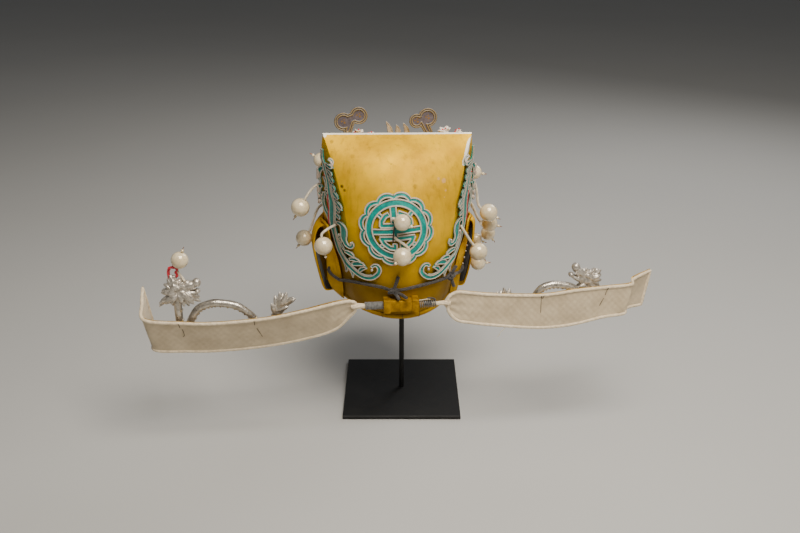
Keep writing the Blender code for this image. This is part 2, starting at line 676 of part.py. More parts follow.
def ribbon(name, path, left, right, thickness):
    """A flat strip along a path in the plane, with its own width at each point."""
    rings = []
    points = [Vector(point) for point in path]
    for i, point in enumerate(points):
        along = points[min(i + 1, len(points) - 1)] - points[max(i - 1, 0)]
        across = Vector((-along.y, along.x)).normalized()
        a, b = point + across * left[i], point - across * right[i]
        low, high = -thickness / 2, thickness / 2
        rings.append([(a.x, a.y, low), (b.x, b.y, low), (b.x, b.y, high), (a.x, a.y, high)])
    return loft(name, rings)


def ring_band(name, inner, outer, steps, thickness):
    """A flat ring whose inner and outer radius are functions of the angle."""
    rings = []
    for i in range(steps):
        turn = 2 * math.pi * i / steps
        c, s = math.cos(turn), math.sin(turn)
        a, b = inner(turn), outer(turn)
        low, high = -thickness / 2, thickness / 2
        rings.append([(a * c, a * s, low), (b * c, b * s, low), (b * c, b * s, high), (a * c, a * s, high)])
    return loft(name, rings, capped=False, closed=True)


def laid_on_back(data, seat, centre_x=0.0, centre_z=0.0, tilt=0.0):
    """Bend a flat mesh onto the crown's back, its underside at the seat."""
    bm = bmesh.new()
    bm.from_mesh(data)
    bmesh.ops.triangulate(bm, faces=bm.faces)
    c, s = math.cos(tilt), math.sin(tilt)
    for vert in bm.verts:
        x = centre_x + vert.co.x * c - vert.co.y * s
        z = centre_z + vert.co.x * s + vert.co.y * c
        vert.co = on_back(x, z, seat + TRIM_CARD / 2 + vert.co.z)
    bmesh.ops.recalc_face_normals(bm, faces=bm.faces)
    bm.to_mesh(data)
    bm.free()
    return data


def make_roundel():
    """The round pierced longevity figure inside its lobed border."""
    def lobe(turn):
        return abs(math.sin(turn * ROUNDEL_LOBES / 2)) ** 0.7

    pieces = [
        ring_band("ring", lambda turn: RING_INNER, lambda turn: RING_OUTER, 36, TRIM_CARD),
        ring_band("lobes", lambda turn: RING_OUTER - GAP + (LOBE_INNER - RING_OUTER) * lobe(turn),
                  lambda turn: LOBE_VALLEY + (LOBE_TIP - LOBE_VALLEY) * lobe(turn),
                  ROUNDEL_LOBES * 6, TRIM_CARD - GAP),
    ]
    for i, (width, points) in enumerate(ROUNDEL_STROKES):
        path = [(x * RING_INNER, y * RING_INNER) for x, y in points]
        widths = [width * RING_INNER] * len(path)
        pieces.append(ribbon(f"stroke_{i}", path, widths, widths, TRIM_CARD - GAP * (2 + i % 3)))
    for i in range(4):
        turn = math.pi / 4 + i * math.pi / 2
        ends = [(share * RING_INNER * math.cos(turn), share * RING_INNER * math.sin(turn))
                for share in (0.68, 1.05)]
        widths = [TIE_HALF_WIDTH * RING_INNER] * 2
        pieces.append(ribbon(f"tie_{i}", ends, widths, widths, TRIM_CARD - GAP * 1.5))
    data = united("medallion", pieces)
    laid = laid_on_back(data, ROUNDEL_SEAT, ROUNDEL_X, ROUNDEL_Z, ROUNDEL_TILT)
    add_part("medallion", laid, TEAL, HAT)


def scroll_ribbon(name, table, hand, thickness):
    """A feathered strip of a scroll, flat: x across the crown and y up it."""
    rows = smooth_path(table, SCROLL_STEPS)
    path, left, right = [], [], []
    for i, (across, up, outer, inner, barbed) in enumerate(rows):
        notch = 0.55 if i % SCROLL_STEPS == 0 and barbed > 0.5 else 1.0
        path.append((hand * across * CROWN_HALF_WIDTH, up * CROWN_HEIGHT))
        wide, narrow = outer * CROWN_HALF_WIDTH, inner * CROWN_HALF_WIDTH * notch
        left.append(wide if hand > 0 else narrow)
        right.append(narrow if hand > 0 else wide)
    # The path runs down the crown, so its left lies towards +X
    return ribbon(name, path, left, right, thickness)


def make_scrolls():
    """The pair of feathered scrolls down the creases."""
    for side, hand in (("left", -1), ("right", 1)):
        stem = scroll_ribbon("stem", SCROLL_STEM, hand, TRIM_CARD)
        branch = scroll_ribbon("branch", SCROLL_BRANCH, hand, TRIM_CARD - GAP)
        data = united("scroll_" + side, [stem, branch])
        add_part("scroll_" + side, laid_on_back(data, SCROLL_SEAT), TEAL, HAT)


def make_socket():
    """The box tube at the back, with a collar and a peg at each end."""
    y = back_y(0, SOCKET_Z + SOCKET_HEIGHT / 2) - GAP - SOCKET_DEPTH / 2
    half = SOCKET_LENGTH / 2
    inner = half - COLLAR_LENGTH
    stations = ((-half, COLLAR_STEP), (-inner, COLLAR_STEP), (-inner, 0.0), (inner, 0.0),
                (inner, COLLAR_STEP), (half, COLLAR_STEP))
    rings = []
    for x, step in stations:
        h, d = SOCKET_HEIGHT / 2 + step, SOCKET_DEPTH / 2 + step
        rings.append([(x, -d, -h), (x, d, -h), (x, d, h), (x, -d, h)])
    body = loft("body", rings)
    peg_radius = SPRING_RADIUS - 2 * SPRING_WIRE - GAP
    peg = tube_mesh("peg", [(-half - PEG_LENGTH, 0, 0), (half + PEG_LENGTH, 0, 0)], peg_radius, 10)
    socket = add_part("wing_socket", united("wing_socket", [body, peg]), GOLD_CARD, HAT)
    socket.location = (SOCKET_X, y, SOCKET_Z)
    return socket.location.copy()


def make_springs(socket_at):
    """The tightly bound spring on the left and the open coil on the right."""
    start = SOCKET_LENGTH / 2 + GAP
    profile = []
    ridges = 6
    inner = SPRING_RADIUS - 2 * SPRING_WIRE
    for i in range(2 * ridges + 1):
        reach = SPRING_RADIUS if i % 2 else SPRING_RADIUS - SPRING_WIRE
        profile.append((reach, 0, SPRING_LENGTH * (1 - i / (2 * ridges))))
    profile += [(inner, 0, 0), (inner, 0, SPRING_LENGTH)]
    bound = add_part("spring_left", line_data("spring_left", profile, ring=True), SPRING_STEEL, HAT)
    modifier(bound, "SCREW", steps=10, render_steps=10, use_merge_vertices=True, merge_threshold=0.00001)
    bound.location = socket_at + Vector((-start, 0, 0))
    bound.rotation_euler = (0, -math.pi / 2, 0)

    per_turn = 7
    count = SPRING_TURNS * per_turn
    coil = []
    for i in range(count + 1):
        turn = 2 * math.pi * i / per_turn
        middle = SPRING_RADIUS - SPRING_WIRE
        coil.append((SPRING_WIRE + (SPRING_LENGTH - 2 * SPRING_WIRE) * i / count,
                     middle * math.cos(turn), middle * math.sin(turn)))
    open_coil = add_part("spring_right", tube_data("spring_right", coil, SPRING_WIRE, 4), SPRING_STEEL, HAT)
    open_coil.location = socket_at + Vector((start, 0, 0))


def wing_rings(table, hand):
    """Closed sections of a wing: a thin panel between two rolled rims."""
    tops, bottoms = [], []
    for reach, top, bottom, top_in, bottom_in in table:
        x = hand * reach * WING_REACH
        slant = LEFT_END_SLANT * WING_REACH * (reach ** 6) if hand < 0 else 0.0
        tops.append(Vector((x - slant, top_in * WING_DEPTH, top * WING_DEPTH)))
        bottoms.append(Vector((x + slant, bottom_in * WING_DEPTH, bottom * WING_DEPTH)))
    middles = [(top + bottom) / 2 for top, bottom in zip(tops, bottoms)]
    rings = []
    for i, (top, bottom) in enumerate(zip(tops, bottoms)):
        along = (middles[min(i + 1, len(middles) - 1)] - middles[max(i - 1, 0)]).normalized()
        up = (top - bottom).normalized()
        out = along.cross(up).normalized() * -hand
        rim = min(WING_RIM, (top - bottom).length / 4)
        web = min(WING_THICKNESS / 2, rim * 0.8)
        rings.append([
            top + up * rim, top + out * rim, top - up * rim + out * web,
            bottom + up * rim + out * web, bottom + out * rim, bottom - up * rim,
            bottom - out * rim, bottom + up * rim - out * web,
            top - up * rim - out * web, top - out * rim,
        ])
    return rings


def make_wings(socket_at):
    """The two cloth-covered wings, each with its neck in a spring."""
    start = SOCKET_LENGTH / 2 + SPRING_LENGTH + 2 * GAP
    for side, hand, table in (("left", -1, WING_LEFT), ("right", 1, WING_RIGHT)):
        panel = loft("panel", wing_rings(table, hand))
        neck = tube_mesh("neck", [(-hand * (NECK_INSERT + NECK_SHOWN), 0, 0), (0, 0, 0),
                                  (hand * 0.03 * WING_REACH, 0, 0)], NECK_RADIUS, 10)
        wing = add_part("wing_" + side, united("wing_" + side, [panel, neck]), CLOTH, HAT)
        wing.location = socket_at + Vector((hand * (start + NECK_SHOWN), 0, 0))


def spike(at, towards, length, width):
    """A four-sided spike from a place in a direction."""
    bm = bmesh.new()
    bmesh.ops.create_cone(bm, cap_ends=True, segments=4, radius1=width, radius2=width * 0.08, depth=length)
    turn = Vector(towards).normalized().to_track_quat("Z", "Y").to_matrix().to_4x4()
    turn = turn @ Matrix.Rotation(SPIKE_SPIN, 4, "Z")
    bmesh.ops.transform(bm, matrix=Matrix.Translation(at) @ turn @ Matrix.Translation((0, 0, length / 2)),
                        verts=bm.verts)
    data = bpy.data.meshes.new("spike")
    bm.to_mesh(data)
    bm.free()
    return data


def lump(at, size, towards=(1, 0, 0), sides=8):
    """A stretched ball, its long axis along a direction."""
    bm = bmesh.new()
    bmesh.ops.create_uvsphere(bm, u_segments=sides, v_segments=5, radius=1)
    turn = Vector(towards).normalized().to_track_quat("X", "Z").to_matrix().to_4x4()
    bmesh.ops.transform(bm, matrix=Matrix.Translation(at) @ turn @ Matrix.Diagonal((*size, 1)),
                        verts=bm.verts)
    data = bpy.data.meshes.new("lump")
    bm.to_mesh(data)
    bm.free()
    return data


def dragon_pieces(route, face, face_tilt):
    """Body, maned head and tail tuft along a route; face is -1 or 1, the way that the head looks in x."""
    path = smooth_path(route, 2)
    count = len(path)
    radii = [DRAGON_RADIUS * (1 - 0.45 * max(0.0, i / (count - 1) - 0.55) / 0.45) for i in range(count)]
    pieces = [tube_mesh("body", path, DRAGON_RADIUS, 6, radii)]
    head = Vector(route[0])
    ahead = Vector((face * math.cos(face_tilt), 0, math.sin(face_tilt)))
    above = Vector((-ahead.z * face, 0, ahead.x * face))
    size = HEAD_LENGTH
    pieces.append(lump(head, (0.26 * size, 0.20 * size, 0.20 * size), ahead))
    pieces.append(lump(head + ahead * 0.30 * size + above * 0.05 * size,
                       (0.26 * size, 0.13 * size, 0.09 * size), ahead))
    pieces.append(lump(head + ahead * 0.24 * size - above * 0.12 * size,
                       (0.20 * size, 0.10 * size, 0.05 * size), ahead - above * 0.35))
    for i, (along, up, length) in enumerate(MANE):
        splay = MANE_SPLAY * ((i % 3) - 1 + 0.13)
        way = (ahead * along + above * up).normalized() + Vector((0, splay, 0))
        root = head + way * 0.06 * size + Vector((0, 0.03 * size * ((i % 3) - 1), 0))
        pieces.append(spike(root, way, length * size, 0.075 * size))
    tail, before = Vector(path[-1]), Vector(path[-3])
    onward = (tail - before).normalized()
    side = Vector((-onward.z, 0, onward.x))
    for i, (lean, length) in enumerate(((0.0, 0.42), (0.5, 0.36), (-0.5, 0.36), (0.95, 0.28), (-0.95, 0.26))):
        splay = Vector((0, 0.21 * ((i % 2) - 0.4), 0))
        root = tail - onward * (0.10 + 0.013 * i) * size
        pieces.append(spike(root, onward + side * lean + splay, length * size, 0.06 * size))
    return pieces


def make_dragons(socket_at):
    """The silver dragons behind the wings' top edges, as seen from the back."""
    start = SOCKET_LENGTH / 2 + SPRING_LENGTH + 2 * GAP + NECK_RADIUS
    for side, hand, table, depth, lean, face, tilt in (
            ("left", -1, DRAGON_LEFT, DRAGON_REACH[0], HEAD_LEAN[0], 1, math.radians(8)),
            ("right", 1, DRAGON_RIGHT, DRAGON_REACH[1], HEAD_LEAN[1], -1, math.radians(38))):
        leans = [lean * share for share in NECK_LEAN] + [0.0] * (len(table) - len(NECK_LEAN))
        route = [(hand * reach * WING_REACH, depth + forward, up * WING_DEPTH)
                 for (reach, up), forward in zip(table, leans)]
        data = united("dragon_" + side, dragon_pieces(route, face, tilt))
        dragon = add_part("dragon_" + side, data, SILVER, HAT)
        dragon.location = socket_at + Vector((hand * start, 0, 0))


def dragon_head():
    """The middle of the left dragon's head."""
    reach, up = DRAGON_LEFT[0]
    at = Vector((-reach * WING_REACH, DRAGON_REACH[0], up * WING_DEPTH))
    return bpy.data.objects["dragon_left"].location + at


def make_ribbon():
    """The red ribbon end that stands up from the left dragon's mane."""
    root = dragon_head() - Vector((RIBBON_ASIDE * HEAD_LENGTH, 0, 0))
    place, _ = seat_of(faces_of(["dragon_left"]), "top", root)
    foot = place.z + 2 * GAP
    # Shares of the height: sideways and up
    path = [(root.x + aside * RIBBON_HEIGHT, foot + up * RIBBON_HEIGHT)
            for aside, up in ((0.0, 0.0), (0.04, 0.3), (0.02, 0.7), (0.12, 1.0))]
    half = [0.1 * RIBBON_WIDTH] + [0.5 * RIBBON_WIDTH] * 3
    data = stood(ribbon("ribbon", path, half, half, RIBBON_CARD), root.y)
    add_part("ribbon", data, RED_CLOTH, HAT)


def stood(data, y):
    """Turn a flat mesh upright, facing the back, at a place forward."""
    data.transform(Matrix.Translation((0, y, 0)) @ Matrix.Rotation(math.pi / 2, 4, "X"))
    return data


def disc(x, y, radius, thickness, sides=12):
    """A flat round plate in the plane."""
    bm = bmesh.new()
    bmesh.ops.create_cone(bm, cap_ends=True, segments=sides, radius1=radius, radius2=radius,
                          depth=thickness, matrix=Matrix.Translation((x, y, 0)))
    data = bpy.data.meshes.new("disc")
    bm.to_mesh(data)
    bm.free()
    return data


def make_curls():
    """The pair of two-lobed curls that stand on the roof behind the ridge."""
    roof = faces_of(["crown"])
    for side, lobes, (foot_x, foot_up) in CURLS:
        pieces = [disc(x, CROWN_HEIGHT + up, radius, CURL_CARD - i * GAP)
                  for i, (x, up, radius) in enumerate(lobes)]
        middle = (sum(lobe[0] for lobe in lobes) / 2, CROWN_HEIGHT + sum(lobe[1] for lobe in lobes) / 2)
        foot_z = CROWN_HEIGHT + foot_up
        bottom = stalk_foot(roof, foot_x, CURL_Y, STALK_RADIUS, CURL_CARD / 2)
        path = [middle, (foot_x, foot_z), (foot_x, foot_z - 2 * CURL_NECK), (foot_x, bottom)]
        half = [CURL_NECK, CURL_NECK, STALK_RADIUS, STALK_RADIUS]
        pieces.append(ribbon("neck", path, half, half, CURL_CARD - 3 * GAP))
        add_part("curl_" + side, stood(united("curl_" + side, pieces), CURL_Y), SILVER, HAT)


def make_crest():
    """The plate with three flames that bend to the left."""
    base = CROWN_HEIGHT - CREST_DROP
    low = base - FLAME_WIDTH
    pieces = []
    for i, (root, tip, rise) in enumerate(FLAMES):
        path = [(root, low), (root + 0.2 * FLAME_WIDTH, base + 0.45 * rise), (tip, base + rise)]
        half = [FLAME_WIDTH, 0.65 * FLAME_WIDTH, 0.1 * FLAME_WIDTH]
        pieces.append(ribbon(f"flame_{i}", path, half, half, CREST_CARD - i * GAP))
    left, right = FLAMES[0][0] - FLAME_WIDTH, FLAMES[-1][0] + FLAME_WIDTH
    half = [FLAME_WIDTH] * 2
    pieces.append(ribbon("band", [(left, low), (right, low)], half, half, CREST_CARD - 3 * GAP))
    middle = (left + right) / 2
    bottom = stalk_foot(faces_of(["crown"]), middle, CREST_Y, 2 * STALK_RADIUS, CREST_CARD / 2)
    half = [2 * STALK_RADIUS] * 2
    pieces.append(ribbon("foot", [(middle, low), (middle, bottom)], half, half, CREST_CARD - 4 * GAP))
    add_part("crest", stood(united("crest", pieces), CREST_Y), SILVER, HAT)


def make_blossoms():
    """The small white blossoms on stalks beside the curls."""
    roof = faces_of(["crown"])
    for i, (x, y, up, radius) in enumerate(BLOSSOMS):
        z = CROWN_HEIGHT + up
        bottom = stalk_foot(roof, x, y, STALK_RADIUS, STALK_RADIUS)
        head = lump((x, y, z), (radius, 0.7 * radius, 0.8 * radius), sides=8)
        stalk = tube_mesh("stalk", [(x, y, bottom), (x, y, z)], STALK_RADIUS, 6)
        name = f"blossom_{i + 1}"
        add_part(name, united(name, [head, stalk]), BLOSSOM, HAT)


def pearl_places():
    """Where each carrier's rows are measured from, and the sizes that their shares are of."""
    return {
        "crown": (Vector(), Vector((CROWN_HALF_WIDTH, CROWN_BACK, CROWN_HEIGHT))),
        "roundel": (on_back(ROUNDEL_X, ROUNDEL_Z, 0), Vector((RING_INNER,) * 3)),
        "dragon": (dragon_head(), Vector((HEAD_LENGTH,) * 3)),
    }


def make_pearls():
    """The drilled pearls and the sprung wires that pass through them."""
    tree = faces_of(SEATS)
    places = pearl_places()
    outer_steps = 5
    for name, carrier, side, root, centre, way, share in PEARLS:
        base, unit = places[carrier]
        place, normal = seat_of(tree, side, base + unit * Vector(root))
        centre, way = base + unit * Vector(centre), Vector(way).normalized()
        radius = share * PEARL_RADIUS

        profile = []
        mouth = math.asin(BORE_RADIUS / radius)
        for i in range(outer_steps + 1):
            turn = mouth + (math.pi - 2 * mouth) * i / outer_steps
            profile.append((radius * math.sin(turn), 0, radius * math.cos(turn)))
        pearl = add_part("pearl_" + name, line_data("pearl_" + name, profile, ring=True), PEARL, HAT)
        modifier(pearl, "SCREW", steps=PEARL_SIDES, render_steps=PEARL_SIDES, use_merge_vertices=True,
                 merge_threshold=0.00001)
        pearl.location = centre
        pearl.rotation_euler = way.to_track_quat("Z", "Y").to_euler()

        foot = place + normal * STEM_SEAT
        shoulder = centre - way * (radius + GAP)
        collar = shoulder - way * STEM_COLLAR
        length = (collar - foot).length
        guides = foot + normal * STEM_BENDS[0] * length, collar - way * STEM_BENDS[1] * length
        points = [bezier(foot, *guides, collar, i / 4) for i in range(5)] + [shoulder]
        radii = [STEM_RADIUS] * 6
        clear = radius + GAP
        for along, size in (
                (-radius, WIRE_RADIUS), (clear, WIRE_RADIUS),
                (clear + 0.5 * BEAD_RADIUS, BEAD_RADIUS), (clear + 1.2 * BEAD_RADIUS, BEAD_RADIUS),
                (clear + 1.8 * BEAD_RADIUS, WIRE_RADIUS),
                (clear + 1.8 * BEAD_RADIUS + WIRE_END, WIRE_RADIUS)):
            points.append(centre + way * along)
            radii.append(size)
        add_part("stem_" + name, tube_data("stem_" + name, points, STEM_RADIUS, 4, radii), STEM, HAT)


def bezier(a, b, c, d, t):
    """A point on the cubic curve from a to d."""
    return a * (1 - t) ** 3 + b * (3 * t * (1 - t) ** 2) + c * (3 * t * t * (1 - t)) + d * t ** 3


def lace(rows, hand):
    """Cord points over the front shell's face and round its rear edge onto the crown."""
    points = []
    for z, way in rows:
        over = fan_out(z, FAN_REAR) + CARD + GAP if way > 0.6 else 0.0
        points.append(on_side(z, way, max(over + CORD_RADIUS, CORD_LIFT), hand))
    return points


def make_cord():
    """The dark cord that laces flap to flap across the back, with its two knots."""
    knots = {name: on_back(x, z, CORD_LIFT - CORD_RADIUS + KNOT_RADIUS) for name, x, z in KNOTS}
    tails = {name: [] for name in knots}
    for name, bend, end in TAILS:
        at = knots[name]
        tails[name].append(tube_mesh("tail", [at, at + Vector(bend), at + Vector(end)], CORD_RADIUS, 4))

    def beside(name, towards):
        return knots[name] + (towards - knots[name]).normalized() * (KNOT_LENGTH + GAP)

    def laid(rows):
        return [on_back(x, z, CORD_LIFT) for x, z in rows]

    left = lace(LACE_LEFT, -1) + laid(CORD_LEFT)
    middle = laid(CORD_MIDDLE)
    right = lace(LACE_RIGHT, 1)
    runs = {
        "cord_left": left + [beside("centre", left[-1])],
        "cord_middle": [beside("centre", middle[0])] + middle + [beside("right", middle[-1])],
        "cord_right": right + [beside("right", right[-1])],
    }
    for name, points in runs.items():
        add_part(name, tube_data(name, smooth_path(points, 2), CORD_RADIUS, 6), CORD, HAT)
    for name, at in knots.items():
        along = on_back(at.x + 0.01, at.z, 0) - on_back(at.x - 0.01, at.z, 0)
        ball = lump(at, (KNOT_LENGTH, KNOT_RADIUS, KNOT_RADIUS), along)
        add_part("knot_" + name, united("knot_" + name, [ball, *tails[name]]), CORD, HAT)


def build():
    """Make every piece of the headdress and its stand."""
    make_crown()
    make_stand()
    make_front_fan()
    make_cheeks()
    make_rim_roll()
    make_roundel()
    make_scrolls()
    socket_at = make_socket()
    make_springs(socket_at)
    make_wings(socket_at)
    make_dragons(socket_at)
    make_ribbon()
    make_curls()
    make_crest()
    make_blossoms()
    make_pearls()
    make_cord()


clear_scene()
PARTS = collection("opera_headdress")
CUTTERS = collection("cutters")
HAT = bpy.data.objects.new("headdress", None)
PARTS.objects.link(HAT)
HAT.location = (HAT_OFFSET, 0, HAT_RISE)
HAT.rotation_euler = (0, 0, HAT_YAW)
bpy.context.view_layer.update()
build()
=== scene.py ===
"""The looks of a Chinese opera headdress on its display stand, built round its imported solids.

Lengths are metres. The hat's pieces are made in the hat's own frame: x across its back, y towards the
face, z up from its rim. The photograph looks along +y, at the back.
"""

import logging
import math
from dataclasses import dataclass, field
from enum import Enum
from typing import Any, Callable, Sequence

import bmesh
import bpy
import numpy as np
from mathutils import Matrix, Vector, noise
from mathutils.bvhtree import BVHTree


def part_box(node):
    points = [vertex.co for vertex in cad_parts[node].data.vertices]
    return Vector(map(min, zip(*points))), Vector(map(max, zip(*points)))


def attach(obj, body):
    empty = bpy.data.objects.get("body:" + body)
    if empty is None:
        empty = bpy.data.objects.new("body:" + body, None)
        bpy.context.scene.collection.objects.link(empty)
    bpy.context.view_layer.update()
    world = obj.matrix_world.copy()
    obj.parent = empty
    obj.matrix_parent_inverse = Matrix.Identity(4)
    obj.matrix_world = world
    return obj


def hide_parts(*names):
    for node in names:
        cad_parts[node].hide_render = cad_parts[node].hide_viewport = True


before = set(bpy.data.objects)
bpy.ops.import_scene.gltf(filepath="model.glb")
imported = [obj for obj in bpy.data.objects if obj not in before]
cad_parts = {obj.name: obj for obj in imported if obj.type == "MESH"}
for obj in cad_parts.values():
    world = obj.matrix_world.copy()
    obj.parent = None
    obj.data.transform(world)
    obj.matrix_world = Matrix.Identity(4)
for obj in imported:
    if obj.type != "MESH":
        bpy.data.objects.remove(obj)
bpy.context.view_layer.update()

LOG = logging.getLogger("headdress")
HAT = Matrix.Translation((-0.008, 0.0, 0.154)) @ Matrix.Rotation(math.radians(5), 4, "Z")
TO_HAT = HAT.inverted()
GAP = 0.0003
CARD = 0.002
TURN = 2 * math.pi
UP = Vector((0, 0, 1))

Object = bpy.types.Object
Node = bpy.types.Node
NodeTree = bpy.types.NodeTree
NodeSocket = bpy.types.NodeSocket
Rows = np.ndarray
Shape = Callable[[Rows, Rows], Rows]
Lift = Callable[[Rows, Rows, Rows], Rows]


class Side(Enum):
    """The two sides, as the photograph shows them."""
    LEFT = -1
    RIGHT = 1

    @property
    def word(self) -> str:
        """The side's name as the nodes use it."""
        return self.name.lower()


class Seat(Enum):
    """The direction in which a wire's root is looked for."""
    BACK = (0, 1, 0)
    LEFT = (1, 0, 0)
    RIGHT = (-1, 0, 0)
    TOP = (0, 0, -1)


class Grain(Enum):
    """How a finish's relief runs."""
    SPECKS = "specks"
    WOVEN = "woven"
    SCALES = "scales"
    WOUND = "wound"


def milli(*table: Any) -> tuple:
    """A table given in thousandths, such as millimetres; words in it stay as they are."""
    made = [milli(*row) if isinstance(row, tuple) else row for row in table]
    return tuple(row / 1000 if isinstance(row, (int, float)) else row for row in made)


def pair(left: Any, right: Any) -> dict:
    """A dataclass field that has a value for each side."""
    return field(default_factory=lambda: {Side.LEFT: left, Side.RIGHT: right})


# Finishes

def linear(code: str) -> tuple[float, ...]:
    """An sRGB hex colour as linear RGBA."""
    parts = [int(code[i:i + 2], 16) / 255 for i in (1, 3, 5)]
    return (*[p / 12.92 if p <= 0.04045 else ((p + 0.055) / 1.055) ** 2.4 for p in parts], 1.0)


def add(tree: NodeTree, kind: str, links: dict | None = None, **settings: Any) -> Node:
    """Adds a shader node.

    Args:
        tree: the material's nodes.
        kind: the node's type without its prefix.
        links: what each named or numbered socket gets: a node's first output, a named output or a value.
        settings: fields in lower case, and sockets with a capital and underscores for spaces.

    Returns:
        The new node.
    """
    made = tree.nodes.new("ShaderNode" + kind)
    for key, value in settings.items():
        if key[0].isupper():
            made.inputs[key.replace("_", " ")].default_value = value
        else:
            setattr(made, key, value)
    for key, value in (links or {}).items():
        if isinstance(value, (Node, NodeSocket)):
            tree.links.new(value.outputs[0] if isinstance(value, Node) else value, made.inputs[key])
        else:
            made.inputs[key].default_value = value
    return made


@dataclass(frozen=True)
class Finish:
    """A surface: what it is made of and how; patterns are given in millimetres.

    The base has a mottled colour, a roughness that follows the mottling, and a fine relief.
    """
    name: str
    colour: str
    shade: str
    roughness: float
    metallic: float = 0.0
    coat: float = 0.0
    sheen: float = 0.0
    specular: float = 0.5
    mottle: float = 14.0
    grain: float = 0.9
    relief: float = 0.03
    kind: Grain = Grain.SPECKS

    def colours(self, tree: NodeTree, coords: NodeSocket) -> Node:
        """Two shades in soft patches.

        Args:
            tree: the material's nodes.
            coords: the piece's own coordinates.

        Returns:
            The node that gives the colour.
        """
        patches = add(tree, "TexNoise", {"Vector": coords}, Scale=1000 / self.mottle, Detail=4.0,
                      Roughness=0.6)
        share = add(tree, "MapRange", {"Value": patches}, From_Min=0.35, From_Max=0.68)
        return add(tree, "MixRGB", {"Fac": share}, Color1=linear(self.colour), Color2=linear(self.shade))

    def height(self, tree: NodeTree, coords: NodeSocket) -> Node:
        """The fine relief, by the kind of grain.

        Args:
            tree: the material's nodes.
            coords: the piece's own coordinates.

        Returns:
            The node that gives the height.
        """
        scale = 1000 / self.grain
        if self.kind is Grain.SCALES:
            return add(tree, "TexVoronoi", {"Vector": coords}, Scale=scale, Randomness=0.6)
        if self.kind is Grain.SPECKS:
            return add(tree, "TexNoise", {"Vector": coords}, Scale=scale, Detail=3.0)
        if self.kind is Grain.WOUND:
            long = add(tree, "Mapping", {"Vector": coords}, Scale=(0.25, 1.0, 1.0))
            return add(tree, "TexNoise", {"Vector": long}, Scale=scale, Detail=2.0)
        # Warp and weft: two bands that cross
        ways = []
        for z in (1.0, -1.0):
            turned = add(tree, "Mapping", {"Vector": coords}, Scale=(1.0, 0.3, z))
            ways.append(add(tree, "TexWave", {"Vector": turned}, bands_direction="DIAGONAL",
                            Scale=scale * 0.11, Distortion=0.6, Detail=1.0).outputs[1])
        return add(tree, "Math", {0: ways[0], 1: ways[1]}, operation="ADD")

    def material(self) -> bpy.types.Material:
        """Makes the material once, and then finds it by its name.

        Returns:
            The material.
        """
        found = bpy.data.materials.get(self.name)
        if found:
            return found
        made = bpy.data.materials.new(self.name)
        made.use_nodes = True
        tree = made.node_tree
        tree.nodes.clear()
        coords = add(tree, "TexCoord").outputs["Object"]
        colour = self.colours(tree, coords)
        bump = add(tree, "Bump", {"Height": self.height(tree, coords)}, Distance=self.relief / 1000)
        wear = add(tree, "TexNoise", {"Vector": coords}, Scale=1000 / (0.6 * self.mottle), Detail=3.0)
        rough = add(tree, "MapRange", {"Value": wear}, From_Min=0.3, From_Max=0.7,
                    To_Min=max(self.roughness - 0.07, 0.05), To_Max=min(self.roughness + 0.09, 1.0))
        shader = add(tree, "BsdfPrincipled", {"Base Color": colour, "Normal": bump, "Roughness": rough},
                     Metallic=self.metallic, Coat_Weight=self.coat, Sheen_Weight=self.sheen,
                     Specular_IOR_Level=self.specular)
        add(tree, "OutputMaterial", {"Surface": shader})
        return made


@dataclass(frozen=True)
class GoldLacquer(Finish):
    """Ochre-gold lacquer on card: satin, brushed on, sooty, rubbed white where told.

    The attribute "worn" shows the gesso. Painted shade darkens it between two heights in the world, most at
    the lower one. Each mark is a place in the world, a radius, a strength and whether it is a pale scuff.
    """
    gesso: str = "#EFE9DC"
    # Colour of the soot streaks and dark marks, and of the painted shade low down
    soot_and_shade: str = "#452B04"
    scuff: str = "#E2B27C"
    painted_shade_heights: tuple = ()
    marks: tuple = ()

    def colours(self, tree: NodeTree, coords: NodeSocket) -> Node:
        """Mottled gold under streaks of soot and painted shade low down, with its marks and the rubbed gesso.

        Args:
            tree: the material's nodes.
            coords: the piece's own coordinates.

        Returns:
            The node that gives the colour.
        """
        colour = super().colours(tree, coords)
        streaks = add(tree, "Mapping", {"Vector": coords}, Scale=(1.0, 1.0, 0.12))
        soot_and_shade = add(tree, "TexNoise", {"Vector": streaks}, Scale=1000 / 7.0, Detail=5.0, Roughness=0.7)
        dark = add(tree, "MapRange", {"Value": soot_and_shade}, From_Min=0.52, From_Max=0.8, To_Max=0.45)
        fine = add(tree, "TexNoise", {"Vector": coords}, Scale=1000 / 1.6, Detail=2.0)
        # Painted shade: the colour darkens below the first height, most at the second
        if self.painted_shade_heights:
            up = add(tree, "SeparateXYZ", {0: coords}).outputs[2]
            low = add(tree, "MapRange", {"Value": up}, From_Min=self.painted_shade_heights[0], From_Max=self.painted_shade_heights[1],
                      To_Max=0.72)
            dark = add(tree, "Math", {0: dark, 1: low}, operation="MAXIMUM")
        colour = add(tree, "MixRGB", {"Fac": dark, "Color1": colour}, Color2=linear(self.soot_and_shade))
        for place, radius, share, pale in self.marks:
            gap = add(tree, "VectorMath", {0: coords, 1: place}, operation="DISTANCE").outputs["Value"]
            uneven = add(tree, "Math", {0: fine, 1: 0.5}, operation="ADD")
            ragged = add(tree, "Math", {0: gap, 1: uneven}, operation="MULTIPLY")
            near = add(tree, "MapRange", {"Value": ragged}, From_Min=radius, From_Max=radius * 0.5,
                       To_Max=share)
            colour = add(tree, "MixRGB", {"Fac": near, "Color1": colour},
                         Color2=linear(self.scuff if pale else self.soot_and_shade))
        worn = add(tree, "Attribute", attribute_name="worn").outputs["Fac"]
        uneven = add(tree, "Math", {0: fine, 1: 0.5}, operation="MULTIPLY")
        ragged = add(tree, "Math", {0: worn, 1: uneven}, operation="ADD")
        bare = add(tree, "MapRange", {"Value": ragged}, From_Min=0.62, From_Max=0.7)
        return add(tree, "MixRGB", {"Fac": bare, "Color1": colour}, Color2=linear(self.gesso))


